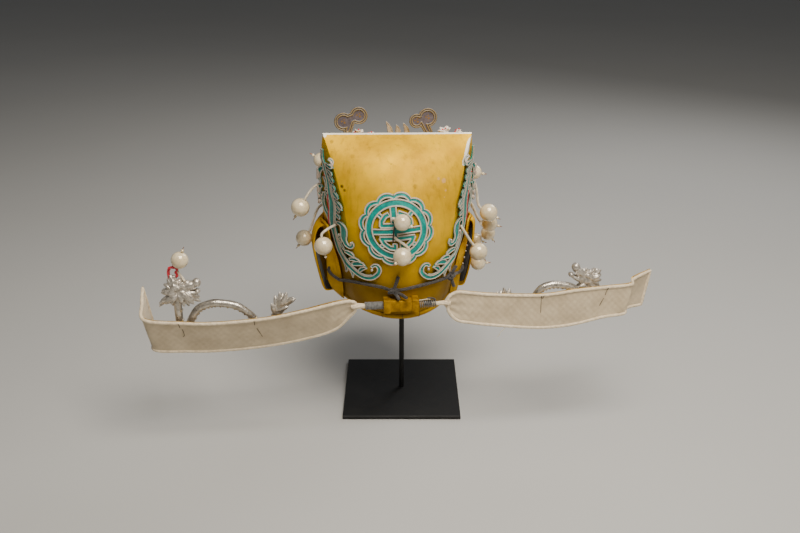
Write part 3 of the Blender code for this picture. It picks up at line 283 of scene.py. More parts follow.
@dataclass(frozen=True)
class LinedPaint(Finish):
    """Flat paint inside raised cord lines of another colour; the attribute "line" shows the lines.

    The attribute "tint" brings in a third colour, as at the curls' centres.
    """
    line: str = "#D7C3B4"
    tint: str = "#C8811E"

    def colours(self, tree: NodeTree, coords: NodeSocket) -> Node:
        """Paint, then the tint and the rubbed lines over it.

        Args:
            tree: the material's nodes.
            coords: the piece's own coordinates.

        Returns:
            The node that gives the colour.
        """
        colour = super().colours(tree, coords)
        rubbed = add(tree, "TexNoise", {"Vector": coords}, Scale=1000 / 2.2, Detail=3.0)
        pale = add(tree, "MixRGB", {"Fac": rubbed}, Color1=linear(self.line),
                   Color2=tuple(0.72 * c for c in linear(self.line)))
        for name, over in (("tint", linear(self.tint)), ("line", pale)):
            share = add(tree, "Attribute", attribute_name=name).outputs["Fac"]
            shown = add(tree, "MapRange", {"Value": share}, From_Min=0.15, From_Max=0.35)
            colour = add(tree, "MixRGB", {"Fac": shown, "Color1": colour, "Color2": over})
        return colour


# Marks on the crown's back in the world: place, radius, how strong, and whether it is a pale scuff
MARKS = (
    ((-0.068, -0.076, 0.31), 0.0026, 0.9, False), ((-0.065, -0.078, 0.306), 0.0022, 0.8, False),
    ((-0.012, -0.075, 0.336), 0.0011, 0.5, False), ((-0.056, -0.067, 0.343), 0.0035, 0.25, False),
    ((-0.08, -0.052, 0.356), 0.003, 0.4, False), ((0.015, -0.086, 0.313), 0.0035, 0.3, False),
    ((0.048, -0.073, 0.316), 0.0036, 0.7, True), ((0.042, -0.075, 0.319), 0.0022, 0.6, True),
    ((0.05, -0.075, 0.305), 0.0017, 0.6, True), ((0.049, -0.078, 0.298), 0.0012, 0.5, True))
# Lacquer brushed on card: deep yellow, satin and a little uneven, browner low down as painted shade
GOLD = GoldLacquer("gold_lacquer_on_card", "#EDBA08", "#C08C06", 0.56, 0.25, specular=0.12, mottle=30.0,
                   grain=1.4, relief=0.1, painted_shade_heights=(0.2, 0.13))
# The same over white gesso: broad soft patches, white where the ridge and a crease are rubbed, and painted
# shade over its lower part
CROWN_GOLD = GoldLacquer("gold_lacquer_on_gessoed_card", "#EDBA08", "#CC9A08", 0.56, 0.25, specular=0.12,
                         mottle=34.0, grain=1.4, relief=0.1, painted_shade_heights=(0.262, 0.165), marks=MARKS)
# The same, darker and browner in small patches: painted shade for the box under the crown's overhang
SHADED_GOLD = GoldLacquer("shaded_gold_lacquer", "#B98A10", "#7A5606", 0.56, 0.25, specular=0.12, mottle=9.0,
                        grain=1.4, relief=0.14)
# Bare pressed card inside the crown: dull brown with fibres
RAW_CARD = Finish("raw_pasteboard", "#8B6C42", "#6E5230", 0.85, grain=1.2, relief=0.12)
# Matt paint laid by hand between raised foiled cords: bright blue-green, pale dull lines
TEAL = LinedPaint("teal_paint_in_silver_lines", "#009C90", "#006E66", 0.46, mottle=5.0, grain=1.2,
                  relief=0.06, line="#D9C4B2")
# The same in other paints: grey violet fields, brassy lines and small amber seeds
CURL_PAINT = LinedPaint("violet_grey_paint_in_bronze_lines", "#666270", "#4E4B57", 0.5, line="#978763",
                        tint="#7E6138", mottle=4.0, grain=0.8, relief=0.08)
# Silver leaf paint on papier mache: warm, broken highlights on a pebbled skin
SILVER = Finish("silver_foil_paint", "#D8D0C4", "#A89F92", 0.32, 0.65, 0.1, mottle=4.0, grain=0.9,
                relief=0.12)
# Foil pressed over a scaled core: brighter, each scale catching its own light
SCALED_SILVER = Finish("embossed_silver_foil", "#D2CABD", "#A0978A", 0.32, 0.8, 0.1, mottle=6.0, grain=2.2,
                       relief=0.25, kind=Grain.SCALES)
# Silver and cream threads in a twill: matt, with a slanting rib, drawn coarser than it is so that it shows
WING_CLOTH = Finish("cream_and_silver_weave", "#D6C3A2", "#C1AE8E", 0.8, sheen=0.25, mottle=18.0, grain=1.5,
                    relief=0.14, kind=Grain.WOVEN)
# The same weave rolled tight round a cord: paler where it is stretched
RIM_CLOTH = Finish("rolled_cream_cloth", "#EFDDBE", "#D6C2A0", 0.78, sheen=0.25, mottle=5.0, grain=1.1,
                   relief=0.16, kind=Grain.WOVEN)
# Plain cotton, faded black: dead matt with a soft edge to the light
GREY_CLOTH = Finish("grey_cotton", "#3B3836", "#2B2927", 0.92, sheen=0.3, grain=1.0, relief=0.15,
                    kind=Grain.WOVEN)
# Twisted cotton cord: matt and dark, its strands fuzzy
DARK_CORD = Finish("dark_cotton_cord", "#4E4946", "#33302E", 0.9, sheen=0.25, mottle=5.0, grain=0.6,
                   relief=0.1, kind=Grain.WOUND)
# Waxed sewing thread: thin, dark and dull
DARK_THREAD = Finish("dark_thread", "#4A3A2C", "#30261E", 0.8, mottle=3.0, grain=0.5)
# Silk-like thread wound side by side: cream with a low lustre across the turns
CREAM_THREAD = Finish("cream_thread", "#EADFC8", "#CDBFA4", 0.62, sheen=0.3, mottle=5.0, grain=0.5,
                      relief=0.06, kind=Grain.WOUND)
# The same thread in grey, soiled at the turns
GREY_THREAD = Finish("grey_thread", "#7F7D79", "#5A5856", 0.6, sheen=0.2, mottle=3.0, grain=0.5, relief=0.05,
                     kind=Grain.WOUND)
# Drawn spring steel with a dull skin: soft grey highlights
STEEL_WIRE = Finish("dull_steel_wire", "#8F8C87", "#625F5C", 0.52, 0.45, mottle=4.0, grain=0.6, relief=0.03)
# Bare drawn copper: a warm glint at the wires' tips
COPPER_WIRE = Finish("copper_wire", "#C08050", "#8A5534", 0.38, 0.9, mottle=3.0, grain=0.5, relief=0.02)
# Pearl essence under clear lacquer: creamy, smooth and glossy
PEARL = Finish("pearl_lacquer", "#F4E4C2", "#DCC79C", 0.2, 0.1, 0.8, mottle=9.0, grain=0.7, relief=0.012)
# Woven silk: strong red with a soft sheen along its folds
RED_SILK = Finish("red_silk", "#E0102F", "#B00A22", 0.45, sheen=0.4, mottle=4.0, grain=0.7, relief=0.05,
                  kind=Grain.WOVEN)
# Thick red paint: small glossy touches
RED_PAINT = Finish("red_paint", "#D6303A", "#B0222C", 0.45, mottle=3.0, grain=0.8)
# Starched silk: white petals that let their folds fall into warm shade
PETAL = Finish("white_silk_petal", "#F2E9DD", "#DCCBBC", 0.6, sheen=0.3, mottle=4.0, grain=0.8, relief=0.05)
# Powder-coated steel: even black with a fine orange peel
BLACK_POWDER = Finish("black_powder_coat", "#0B0B0B", "#080808", 0.6, mottle=40.0, grain=0.8, relief=0.05)
# Silver foil long in the air: greyer, its shine broken
TARNISHED = Finish("tarnished_silver_foil", "#CDC4B8", "#958D83", 0.42, 0.35, mottle=3.0, grain=0.9,
                   relief=0.12)
# Gilt strip wound on a thread: a fine line of dull gold
GOLD_THREAD = Finish("gold_thread", "#CDA44A", "#A07A2A", 0.4, 0.6, mottle=3.0, grain=0.6, relief=0.05,
                     kind=Grain.WOUND)
# Matt wall paint, so even that only the light shows on it
FLOOR_PAINT = Finish("pale_floor", "#C2C1BE", "#BFBEBB", 0.85, mottle=900.0, grain=40.0, relief=0.0)


# Shaping

def deselect() -> None:
    """Leaves nothing selected."""
    bpy.ops.object.select_all(action="DESELECT")


def take(*objs: Object) -> Object:
    """Selects objects alone.

    Args:
        objs: the objects.

    Returns:
        The last, which is the active one.
    """
    deselect()
    for obj in objs:
        obj.select_set(True)
    bpy.context.view_layer.objects.active = objs[-1]
    return objs[-1]


def modify(obj: Object, kind: str, **settings: Any) -> Object:
    """Adds a modifier and applies it.

    Args:
        obj: the object.
        kind: the modifier's type.
        settings: the modifier's fields.

    Returns:
        The object.
    """
    made = obj.modifiers.new(kind.title(), kind)
    for key, value in settings.items():
        setattr(made, key, value)
    take(obj)
    bpy.ops.object.modifier_apply(modifier=made.name)
    return obj


def walled(obj: Object, thickness: float, offset: float, edge: float = 0.0, **settings: Any) -> Object:
    """Gives a sheet its thickness.

    Args:
        obj: the sheet.
        thickness: the wall's thickness.
        offset: -1 behind the sheet, 0 about it, 1 in front of it.
        edge: how far its edges are rounded, if at all.
        settings: more of Solidify's fields.

    Returns:
        The object.
    """
    modify(obj, "SOLIDIFY", thickness=thickness, offset=offset, **settings)
    if edge:
        modify(obj, "BEVEL", width=edge, segments=2, limit_method="ANGLE")
    return obj


def joined(objs: Sequence[Object]) -> Object:
    """Joins objects into one.

    Args:
        objs: one object or more.

    Returns:
        The object that is left.
    """
    take(*objs)
    if len(objs) > 1:
        bpy.ops.object.join()
    return bpy.context.object


def clean(obj: Object, distance: float) -> Object:
    """Merges doubled points and turns the faces outwards.

    Args:
        obj: the object.
        distance: how far doubles may be apart.

    Returns:
        The object.
    """
    take(obj)
    bpy.ops.object.mode_set(mode="EDIT")
    bpy.ops.mesh.select_all(action="SELECT")
    bpy.ops.mesh.remove_doubles(threshold=distance)
    bpy.ops.mesh.normals_make_consistent(inside=False)
    bpy.ops.object.mode_set(mode="OBJECT")
    return obj


def placed(obj: Object | Sequence[Object], name: str, finish: Finish, node: str = "", hat: bool = True,
           smooth: float = 35.0) -> Object:
    """Finishes a piece: names it, dresses it, moves its mesh to the stand and puts it in the object.

    Args:
        obj: the piece, or the parts that are joined into it.
        name: the piece's name.
        finish: what it is dressed in; an object that has materials keeps them.
        node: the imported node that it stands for.
        hat: whether it was made in the hat's frame.
        smooth: the angle in degrees under which edges are shaded smooth.

    Returns:
        The piece.
    """
    obj = joined(obj if isinstance(obj, list) else [obj])
    bpy.ops.object.transform_apply(location=True, rotation=True, scale=True)
    if hat:
        obj.data.transform(HAT)
    obj.name = obj.data.name = name
    if not obj.data.materials:
        obj.data.materials.append(finish.material())
    bpy.ops.object.shade_smooth_by_angle(angle=math.radians(smooth))
    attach(obj, "root")
    if node:
        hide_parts(node)
    return obj


def smooth_path(points: Sequence, steps: int = 6) -> Rows:
    """A Catmull-Rom curve.

    Args:
        points: rows of any width that it goes through.
        steps: its steps from one row to the next.

    Returns:
        The curve's rows, the given ones among them.
    """
    rows = np.array(points, float)
    rows = np.vstack([2 * rows[0] - rows[1], rows, 2 * rows[-1] - rows[-2]])
    t = (np.arange(steps) / steps)[:, None]
    out = [0.5 * (2 * b + (c - a) * t + (2 * a - 5 * b + 4 * c - d) * t ** 2 + (3 * b - a - 3 * c + d)
                  * t ** 3) for a, b, c, d in zip(rows, rows[1:], rows[2:], rows[3:])]
    return np.vstack([*out, rows[-2]])


def mix(a: Any, b: Any, share: Any) -> Any:
    """What lies at a share of the way from one value to another."""
    return a + (b - a) * share


def stacked(*values: Any) -> Rows:
    """Rows made of their columns, each an array or a number."""
    return np.stack(np.broadcast_arrays(*values), -1)


def unit(rows: Rows) -> Rows:
    """Rows scaled to a length of 1."""
    return rows / np.linalg.norm(rows, axis=-1, keepdims=True)


def led(start: Vector, *steps: Sequence[float]) -> Rows:
    """A smooth line through places given from its start, in millimetres."""
    return smooth_path([start + Vector(step) / 1000 for step in steps])


def along_rows(rows: Rows, share: Rows) -> Rows:
    """Rows read at shares 0 to 1 of their count."""
    at = np.clip(share, 0, 1) * (len(rows) - 1)
    return np.stack([np.interp(at, np.arange(len(rows)), rows[:, k]) for k in range(rows.shape[1])], -1)


def circle(at: Vector, across: Vector, up: Vector, count: int) -> list[Vector]:
    """Points round a circle, from its two half-axes."""
    return [at + across * math.cos(t) + up * math.sin(t) for t in np.linspace(0, TURN, count, endpoint=False)]


def tube(name: str, points: Sequence, radius: float, sides: int = 2, shares: Sequence[float] = (),
         closed: bool = False) -> Object:
    """A round bar along points, made as a bevelled curve and turned into a mesh.

    Args:
        name: a working name.
        points: its middle line.
        radius: its radius.
        sides: the curve's bevel resolution; 1 gives 6 sides, 2 gives 8.
        shares: the radius's share at each point.
        closed: whether it ends where it starts.

    Returns:
        The mesh object.
    """
    data = bpy.data.curves.new(name, "CURVE")
    data.dimensions = "3D"
    data.bevel_depth = radius
    data.bevel_resolution = sides
    data.use_fill_caps = not closed
    line = data.splines.new("POLY")
    line.points.add(len(points) - 1)
    line.use_cyclic_u = closed
    for i, (knot, at) in enumerate(zip(line.points, points)):
        knot.co = (*at, 1.0)
        knot.radius = shares[i] if len(shares) else 1.0
    obj = bpy.data.objects.new(name, data)
    bpy.context.collection.objects.link(obj)
    take(obj)
    bpy.ops.object.convert(target="MESH")
    return bpy.context.object


def evenly(points: Sequence, step: float) -> list[Vector]:
    """Points spaced evenly along a line.

    Args:
        points: the line.
        step: about how far they are apart.

    Returns:
        The points, both ends among them.
    """
    rows = np.array(points, float)
    run = np.concatenate([[0], np.cumsum(np.linalg.norm(np.diff(rows, axis=0), axis=1))])
    at = np.linspace(0, run[-1], max(int(run[-1] / step), 2) + 1)
    return [Vector(row) for row in np.stack([np.interp(at, run, rows[:, k]) for k in range(3)], -1)]


def wound(points: Sequence, reach: float, pitch: float, per_turn: int = 8,
          phase: float = 0.0) -> list[Vector]:
    """A helix round a line.

    Args:
        points: the line.
        reach: the helix's radius.
        pitch: its rise for each turn.
        per_turn: points for each turn.
        phase: where it starts, in turns.

    Returns:
        The helix's points.
    """
    line = evenly(points, pitch / per_turn)
    out, side = [], None
    for i, at in enumerate(line):
        ahead = (line[min(i + 1, len(line) - 1)] - line[max(i - 1, 0)]).normalized()
        if side is None:
            side = ahead.orthogonal()
        side = (side - ahead * side.dot(ahead)).normalized()
        turn = TURN * (i / per_turn + phase)
        out.append(at + (side * math.cos(turn) + ahead.cross(side) * math.sin(turn)) * reach)
    return out


def coordinates(obj: Object) -> Rows:
    """A mesh's points as rows."""
    flat = np.empty(len(obj.data.vertices) * 3)
    obj.data.vertices.foreach_get("co", flat)
    return flat.reshape(-1, 3)


def reshape(obj: Object, at: Rows) -> None:
    """Moves a mesh's points to rows of places."""
    obj.data.vertices.foreach_set("co", at.ravel())
    obj.data.update()


def mark(obj: Object, name: str, values: Rows) -> None:
    """Stores a number for each point, for a material to read."""
    obj.data.attributes.new(name, "FLOAT", "POINT").data.foreach_set("value", np.asarray(values, np.float32))


def grid_sheet(name: str, columns: int, rows: int, place: Callable[[Rows, Rows], Rows]) -> Object:
    """A sheet shaped from a grid primitive.

    Args:
        name: a working name.
        columns: faces along u.
        rows: faces along v.
        place: turns arrays of u and v, 0 to 1, into points.

    Returns:
        The sheet, with the grid's own UVs.
    """
    deselect()
    bpy.ops.mesh.primitive_grid_add(x_subdivisions=columns, y_subdivisions=rows, size=1)
    obj = bpy.context.object
    obj.name = name
    flat = coordinates(obj)
    reshape(obj, place(flat[:, 0] + 0.5, flat[:, 1] + 0.5))
    return obj


def ball(at: Sequence[float], size: float | Sequence[float], segments: int = 24,
         turn: Matrix | None = None) -> Object:
    """A sphere, or one stretched along its axes.

    Args:
        at: its middle.
        size: its radius, or one for each axis.
        segments: its segments; it has half as many rings.
        turn: its axes.

    Returns:
        The object.
    """
    deselect()
    bpy.ops.mesh.primitive_uv_sphere_add(segments=segments, ring_count=segments // 2, radius=1)
    obj = bpy.context.object
    sizes = Matrix.Diagonal((*np.broadcast_to(size, 3).tolist(), 1))
    obj.data.transform(Matrix.Translation(at) @ (turn or Matrix()).to_4x4() @ sizes)
    return obj


def solids(names: Sequence[str]) -> BVHTree:
    """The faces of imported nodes, for pieces that seat on them.

    Args:
        names: the nodes.

    Returns:
        Their faces in the hat's frame.
    """
    made = bmesh.new()
    for name in names:
        made.from_mesh(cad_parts[name].data)
    bmesh.ops.transform(made, matrix=TO_HAT, verts=made.verts)
    tree = BVHTree.FromBMesh(made)
    made.free()
    return tree


# The crown's form, which most pieces are laid on

@dataclass(frozen=True)
class CrownForm:
    """The crown's surface as sections at heights, each a share of a named size.

    A section gives the back's middle, the crease, the side's widest point and the front's middle.
    """
    height: float = 0.207
    half_width: float = 0.09
    back: float = 0.106
    front: float = 0.096
    fan_height: float = 0.1
    fan_rear: float = 0.62
    cheek_end: float = 1.36
    # Height, back, crease across, crease back, side across, side back, front
    sections: tuple = milli(
        (0, 953, 578, 585, 811, 170, 958), (155, 991, 628, 679, 867, 179, 995),
        (309, 1000, 661, 726, 922, 189, 1000), (464, 991, 683, 726, 972, 189, 948),
        (623, 943, 717, 698, 1000, 198, 823), (778, 830, 800, 623, 1000, 236, 562),
        (908, 637, 883, 509, 981, 302, 146), (1000, 354, 959, 354, 959, 354, -391))

    def section(self, z: Rows) -> list[Rows]:
        """The sections at heights.

        Args:
            z: heights over the rim.

        Returns:
            Back, crease x, crease y, side x, side y and front.
        """
        table = np.array(self.sections)
        slopes = np.gradient(table, axis=0) / np.gradient(table[:, 0])[:, None]
        share = np.clip(np.asarray(z, float) / self.height, 0, 1)
        i = np.clip(np.searchsorted(table[:, 0], share, "right") - 1, 0, len(table) - 2)
        run = (table[i + 1, 0] - table[i, 0])[..., None]
        t = ((share - table[i, 0])[..., None]) / run
        row = ((2 * t ** 3 - 3 * t ** 2 + 1) * table[i] + (t ** 3 - 2 * t ** 2 + t) * run * slopes[i]
               + (3 * t ** 2 - 2 * t ** 3) * table[i + 1] + (t ** 3 - t ** 2) * run * slopes[i + 1])
        sizes = (-self.back, self.half_width, -self.back, self.half_width, -self.back, self.front)
        return [row[..., k + 1] * size for k, size in enumerate(sizes)]

    def back_y(self, x: Rows, z: Rows) -> Rows:
        """The back panel and the gussets beside it.

        Args:
            x: places across.
            z: places up.

        Returns:
            Each place's y.
        """
        back, crease_x, crease_y, side_x, side_y, _ = self.section(z)
        across = np.minimum(np.abs(x), side_x)
        panel = mix(back, crease_y, (across / crease_x) ** 2)
        gusset = mix(crease_y, side_y, (across - crease_x) / np.maximum(side_x - crease_x, 1e-5))
        return np.where(across <= crease_x, panel, gusset)

    def on_back(self, x: Rows, z: Rows, out: Rows | float) -> Rows:
        """Points over the crown's back.

        Args:
            x: places across.
            z: places up.
            out: how far out along the normal.

        Returns:
            The points as rows.
        """
        x, z = np.asarray(x, float), np.asarray(z, float)
        step = 0.002
        slope_x = (self.back_y(x + step, z) - self.back_y(x - step, z)) / (2 * step)
        slope_z = (self.back_y(x, z + step) - self.back_y(x, z - step)) / (2 * step)
        normal = unit(stacked(slope_x, -1.0, slope_z))
        return stacked(x, self.back_y(x, z), z) + normal * np.asarray(out, float)[..., None]

    def at_back(self, x: float, z: float, out: float = 0.0) -> Vector:
        """One point over the back."""
        return Vector(self.on_back(x, z, out))

    def side_plan(self, z: Rows, way: Rows) -> Rows:
        """The side in plan.

        Args:
            z: heights over the rim.
            way: 0 at the crease, 1 at the side, 2 at the front's middle.

        Returns:
            x and y as rows.
        """
        _, crease_x, crease_y, side_x, side_y, front = self.section(z)
        turn = np.maximum(way - 1, 0) * math.pi / 2
        back = np.minimum(way, 1)
        x = np.where(way <= 1, mix(crease_x, side_x, back), side_x * np.cos(turn))
        return stacked(x, np.where(way <= 1, mix(crease_y, side_y, back), mix(side_y, front, np.sin(turn))))

    def on_side(self, z: Rows, way: Rows, out: Rows | float, side: Side) -> Rows:
        """Points off the crown's side.

        Args:
            z: heights over the rim.
            way: as in side_plan.
            out: how far out in plan.
            side: which side.

        Returns:
            The points as rows.
        """
        z, way = np.broadcast_arrays(np.asarray(z, float), np.asarray(way, float))
        along = self.side_plan(z, np.minimum(way + 0.02, 2.0)) - self.side_plan(z, way - 0.02)
        normal = unit(stacked(along[..., 1], -along[..., 0]))
        plan = self.side_plan(z, way) + normal * np.asarray(out, float)[..., None]
        return stacked(side.value * plan[..., 0], plan[..., 1], z)

    def fan_out(self, z: Rows, way: Rows) -> Rows:
        """How far the front shell's inner face stands off the crown."""
        loose = np.maximum(0.0, 1 - (way - self.fan_rear) / (self.cheek_end - self.fan_rear))
        return 0.001 + 0.0045 * z / self.fan_height * loose ** 2


FORM = CrownForm()


# The crown and what is fixed to it

@dataclass
class Crown:
    """The tall card crown: an open shell with a worn straight ridge."""
    rim: float = 0.0077
    wall: float = CARD
    panel_columns: int = 26
    gusset_columns: int = 5
    rows: int = 54
    worn_ridge: float = 0.0008
    worn_corner: float = 0.006
    ridge_lean: float = 0.003

    def heights(self) -> Rows:
        """Row heights, closer at the worn ridge."""
        top = FORM.height
        near = top - np.array([0.004, 0.003, 0.0022, 0.0016, 0.0011, 0.0007, 0.0004, 0.0])
        return np.concatenate([np.linspace(self.rim, top - 0.0055, self.rows), near])

    def ring(self, column: Rows, z: Rows) -> Rows:
        """Points round the crown.

        Args:
            column: whole columns; 0 is the back's middle.
            z: heights over the rim.

        Returns:
            The points as rows.
        """
        k, g = self.panel_columns, self.gusset_columns
        half = 2 * k + g
        mirrored = column > half
        c = np.where(mirrored, 2 * half - column, column)
        back, crease_x, crease_y = FORM.section(z)[:3]
        across = np.cos((1 - c / k) * math.pi / 2)
        side = FORM.side_plan(z, np.clip((c - k) / g, 0, 1) + np.clip((c - k - g) / k, 0, 1))
        x = np.where(c <= k, crease_x * across, side[..., 0])
        y = np.where(c <= k, mix(back, crease_y, across ** 2), side[..., 1])
        return stacked(np.where(mirrored, -x, x), y, z)

    def wear(self, at: Rows) -> Rows:
        """How far the lacquer is rubbed off.

        Args:
            at: rows of points.

        Returns:
            Each point's share, 0 to 1.
        """
        x, y, z = at.T
        down = FORM.height - z
        crease = FORM.section(z)[1]
        ridge = np.clip(1.25 - down / self.worn_ridge * 0.5, 0, 1)
        # The bare strip down the right crease, wider lower down
        width = np.interp(down, (0.004, 0.007, 0.012, 0.024, 0.03, 0.034),
                          (0, 0.002, 0.0022, 0.0024, 0.0032, 0))
        strip = np.clip(1.3 - (crease - x) / np.maximum(width, 1e-5) * 0.6, 0, 1)
        strip *= (width > 0) * (x > 0) * (y < 0)
        corner = np.clip(1.1 - np.hypot(x + crease, down) / self.worn_corner, 0, 1) * (y < 0)
        return np.maximum.reduce([ridge, strip * (x < crease + 0.002), corner])

    def build(self) -> None:
        """Makes the shell and its worn lacquer."""
        count = 2 * (2 * self.panel_columns + self.gusset_columns)
        heights = self.heights()

        def place(u: Rows, v: Rows) -> Rows:
            """Rows of the crown for the grid's columns and rows."""
            return self.ring(np.rint(u * count), heights[np.rint(v * (len(heights) - 1)).astype(int)])

        shell = clean(grid_sheet("crown", count, len(heights) - 1, place), 2e-5)
        at = coordinates(shell)
        mark(shell, "worn", self.wear(at))
        lean = (at[:, 2] / FORM.height) ** 3 * (0.5 - 0.5 * at[:, 0] / FORM.half_width)
        reshape(shell, at + np.outer(lean * self.ridge_lean, (0, 0, 1)))
        for finish in (CROWN_GOLD, RAW_CARD):
            shell.data.materials.append(finish.material())
        walled(shell, self.wall, -1, material_offset=1)
        placed(shell, "crown_shell", CROWN_GOLD, "crown", smooth=22)
        LOG.info("crown: %d faces", len(shell.data.polygons))


@dataclass
class Shell:
    """The lower front shell, its cheek flaps, their grey cloth, and the beads on the right flap."""
    fan_side: float = 0.1
    fan_front: float = 0.122
    flap_height: float = 0.101
    flap_card: float = 0.0016
    flap_flare: float = 0.012
    flap_rear: float = 0.85
    flap_seat: float = 0.0007
    lining: float = 0.001
    edge: float = 0.0005
    leaf: float = 0.0012
    cuts: dict = pair((0.031, 0.079), (0.0175, 0.078))
    # Where the cloth starts behind its flap's rear edge
    cloth_starts: dict = pair(0.03, 0.15)
    # Flare and height as shares of the flap's, from its folded foot to its folded top
    profiles: dict = pair(
        ((0.0, 0.105), (0.5, 0.108), (1.0, 0.112), (1.2, 0.125), (1.27, 0.17), (1.33, 0.3), (1.38, 0.44),
         (1.4, 0.58), (1.36, 0.68), (1.25, 0.76), (1.02, 0.84), (0.78, 0.89), (0.45, 0.925), (0.0, 0.935)),
        ((0.0, 0.1), (0.2, 0.1), (0.45, 0.105), (0.62, 0.115), (0.72, 0.15), (0.79, 0.25), (0.81, 0.36),
         (0.76, 0.5), (0.66, 0.62), (0.58, 0.72), (0.48, 0.82), (0.38, 0.9), (0.22, 0.94), (0.0, 0.95)))
    # The inner leaves, from the top down: height and stand-off of the rear edge, then of the front edge
    leaf_ways: tuple = (0.46, 0.72)
    leaf_crown: float = 0.0012
    leaves: dict = pair(
        milli((84, 9.8, 77.7, 6.2), (75.9, 7.2, 70.5, 9.1), (65, 5, 60.4, 11.5), (55.4, 3.4, 51.3, 13.3),
              (44.3, 2.6, 40.6, 14.6), (33.6, 2.6, 30.3, 15.8), (26, 2.7, 22.7, 15),
              (18.1, 3.5, 14.2, 12.3), (12.8, 4.4, 8.2, 8.9), (9.3, 7.2, 4.5, 6.2)),
        milli((89.4, 9.4, 83.3, 7.6), (79.4, 6.5, 73.7, 8), (66.6, 3.5, 61, 7.8), (49.3, 1.8, 43.7, 7.1),
              (33.3, 1.4, 27.9, 7.2), (20, 1.4, 15, 8), (14.1, 1.4, 9.2, 7.6), (8.4, 1.6, 4.5, 7.3),
              (4, 3.4, 2, 4.8)))
    bead: float = 0.0012
    bead_rows: tuple = milli(83, 197, 264, 326, 386)

    def fan(self) -> None:
        """The front shell, from one cheek round the face to the other."""
        def place(u: Rows, v: Rows) -> Rows:
            """The outer face, higher over the forehead.

            Args:
                u: 0 at the left end, 1 at the right end.
                v: 0 at the foot, 1 at the top.

            Returns:
                The points as rows.
            """
            turn = np.abs(2 * u - 1)
            way = 2.0 - (2.0 - FORM.fan_rear) * turn
            z = v * mix(self.fan_side, self.fan_front, np.maximum(0, way - 1) ** 2)
            at = FORM.on_side(z, way, FORM.fan_out(z, way) + CARD, Side.RIGHT)
            at[:, 0] *= np.where(u < 0.5, -1, 1)
            return at

        shell = grid_sheet("fan", 88, 26, place)
        walled(shell, CARD, self.inward(shell), self.edge, use_even_offset=True)
        placed(shell, "front_shell", GOLD, "front_fan")

    @staticmethod
    def inward(sheet: Object) -> float:
        """Solidify's offset that thickens a sheet towards the crown's axis."""
        face = sheet.data.polygons[len(sheet.data.polygons) // 2]
        return -1.0 if face.normal.dot(Vector((face.center.x, face.center.y, 0))) > 0 else 1.0

    def flap_sheet(self, side: Side, inset: float, ends: tuple[float, float], reach: tuple[float, float],
                   columns: int, rows: int) -> Object:
        """A sheet inside a flap.

        Args:
            side: which flap.
            inset: how far it lies inside the outer wall.
            ends: its ways round the crown at the rear and the front.
            reach: the part of the profile it takes.
            columns: its faces from rear to front.
            rows: its faces from foot to top.

        Returns:
            The sheet.
        """
        table = smooth_path(self.profiles[side])

        def place(u: Rows, v: Rows) -> Rows:
            """The profile, flattened towards the front.

            Args:
                u: 0 at the rear, 1 at the front.
                v: 0 at the foot, 1 at the top.

            Returns:
                The points as rows.
            """
            flare, share = along_rows(table, mix(*reach, v)).T
            way = mix(*ends, u)
            fade = (FORM.cheek_end - way) / (FORM.cheek_end - self.flap_rear)
            z = np.clip(share, 0, 1) * self.flap_height
            bulge = self.flap_flare * np.clip(flare, 0, 2) * np.sin(fade * math.pi / 2)
            out = FORM.fan_out(z, way) + CARD + self.flap_seat + np.maximum(bulge - inset, 0)
            return FORM.on_side(z, way, out, side)

        return grid_sheet("flap", columns, rows, place)

    def leaf_at(self, side: Side, u: Rows, v: Rows, out: float = 0.0) -> Rows:
        """Points on an inner leaf.

        Args:
            side: which flap.
            u: 0 at its rear edge, 1 at its front edge.
            v: 0 at its top, 1 at its foot.
            out: how far off its face.

        Returns:
            The points as rows.
        """
        rows = along_rows(smooth_path(self.leaves[side], 5), v)
        z = mix(rows[..., 0], rows[..., 2], u)
        crown = self.leaf_crown * np.sin(np.clip(u, 0, 1) * math.pi)
        off = mix(rows[..., 1], rows[..., 3], u) + crown + out
        return FORM.on_side(z, mix(*self.leaf_ways, u), off, side)

    def flaps(self, side: Side) -> None:
        """One flap: its outer wall, its inner leaf and the cloth between them.

        Args:
            side: which flap.
        """
        word, depth = side.word, FORM.cheek_end - self.flap_rear
        flap = clean(self.flap_sheet(side, 0.0, (self.flap_rear, FORM.cheek_end), (0.0, 1.0), 26, 56), 5e-5)
        walled(flap, self.flap_card, -self.inward(flap), self.edge)
        placed(flap, "flap_" + word, GOLD, "cheek_" + word)
        leaf = grid_sheet("leaf", 12, 44, lambda u, v: self.leaf_at(side, u, v))
        walled(leaf, self.leaf, self.inward(leaf), 0.8 * self.edge)
        placed(leaf, "flap_leaf_" + word, GOLD)
        ends = (self.flap_rear + self.cloth_starts[side], self.flap_rear + depth * 0.45)
        cloth = self.flap_sheet(side, self.lining + GAP, ends, (0.08, 0.76), 18, 40)
        walled(cloth, self.lining, -self.inward(cloth), use_even_offset=True)
        cloth = placed(cloth, "cloth_" + word, GREY_CLOTH, "lining_" + word)

    def build(self) -> None:
        """Makes the shell, flaps and cloth, and the beads along the right leaf."""
        self.fan()
        for side in Side:
            self.flaps(side)
        beads = [ball(self.leaf_at(Side.RIGHT, np.array(1.08), np.array(v)), self.bead, 12)
                 for v in self.bead_rows]
        placed(beads, "flap_beads", SILVER, smooth=60)
        LOG.info("front shell and flaps")


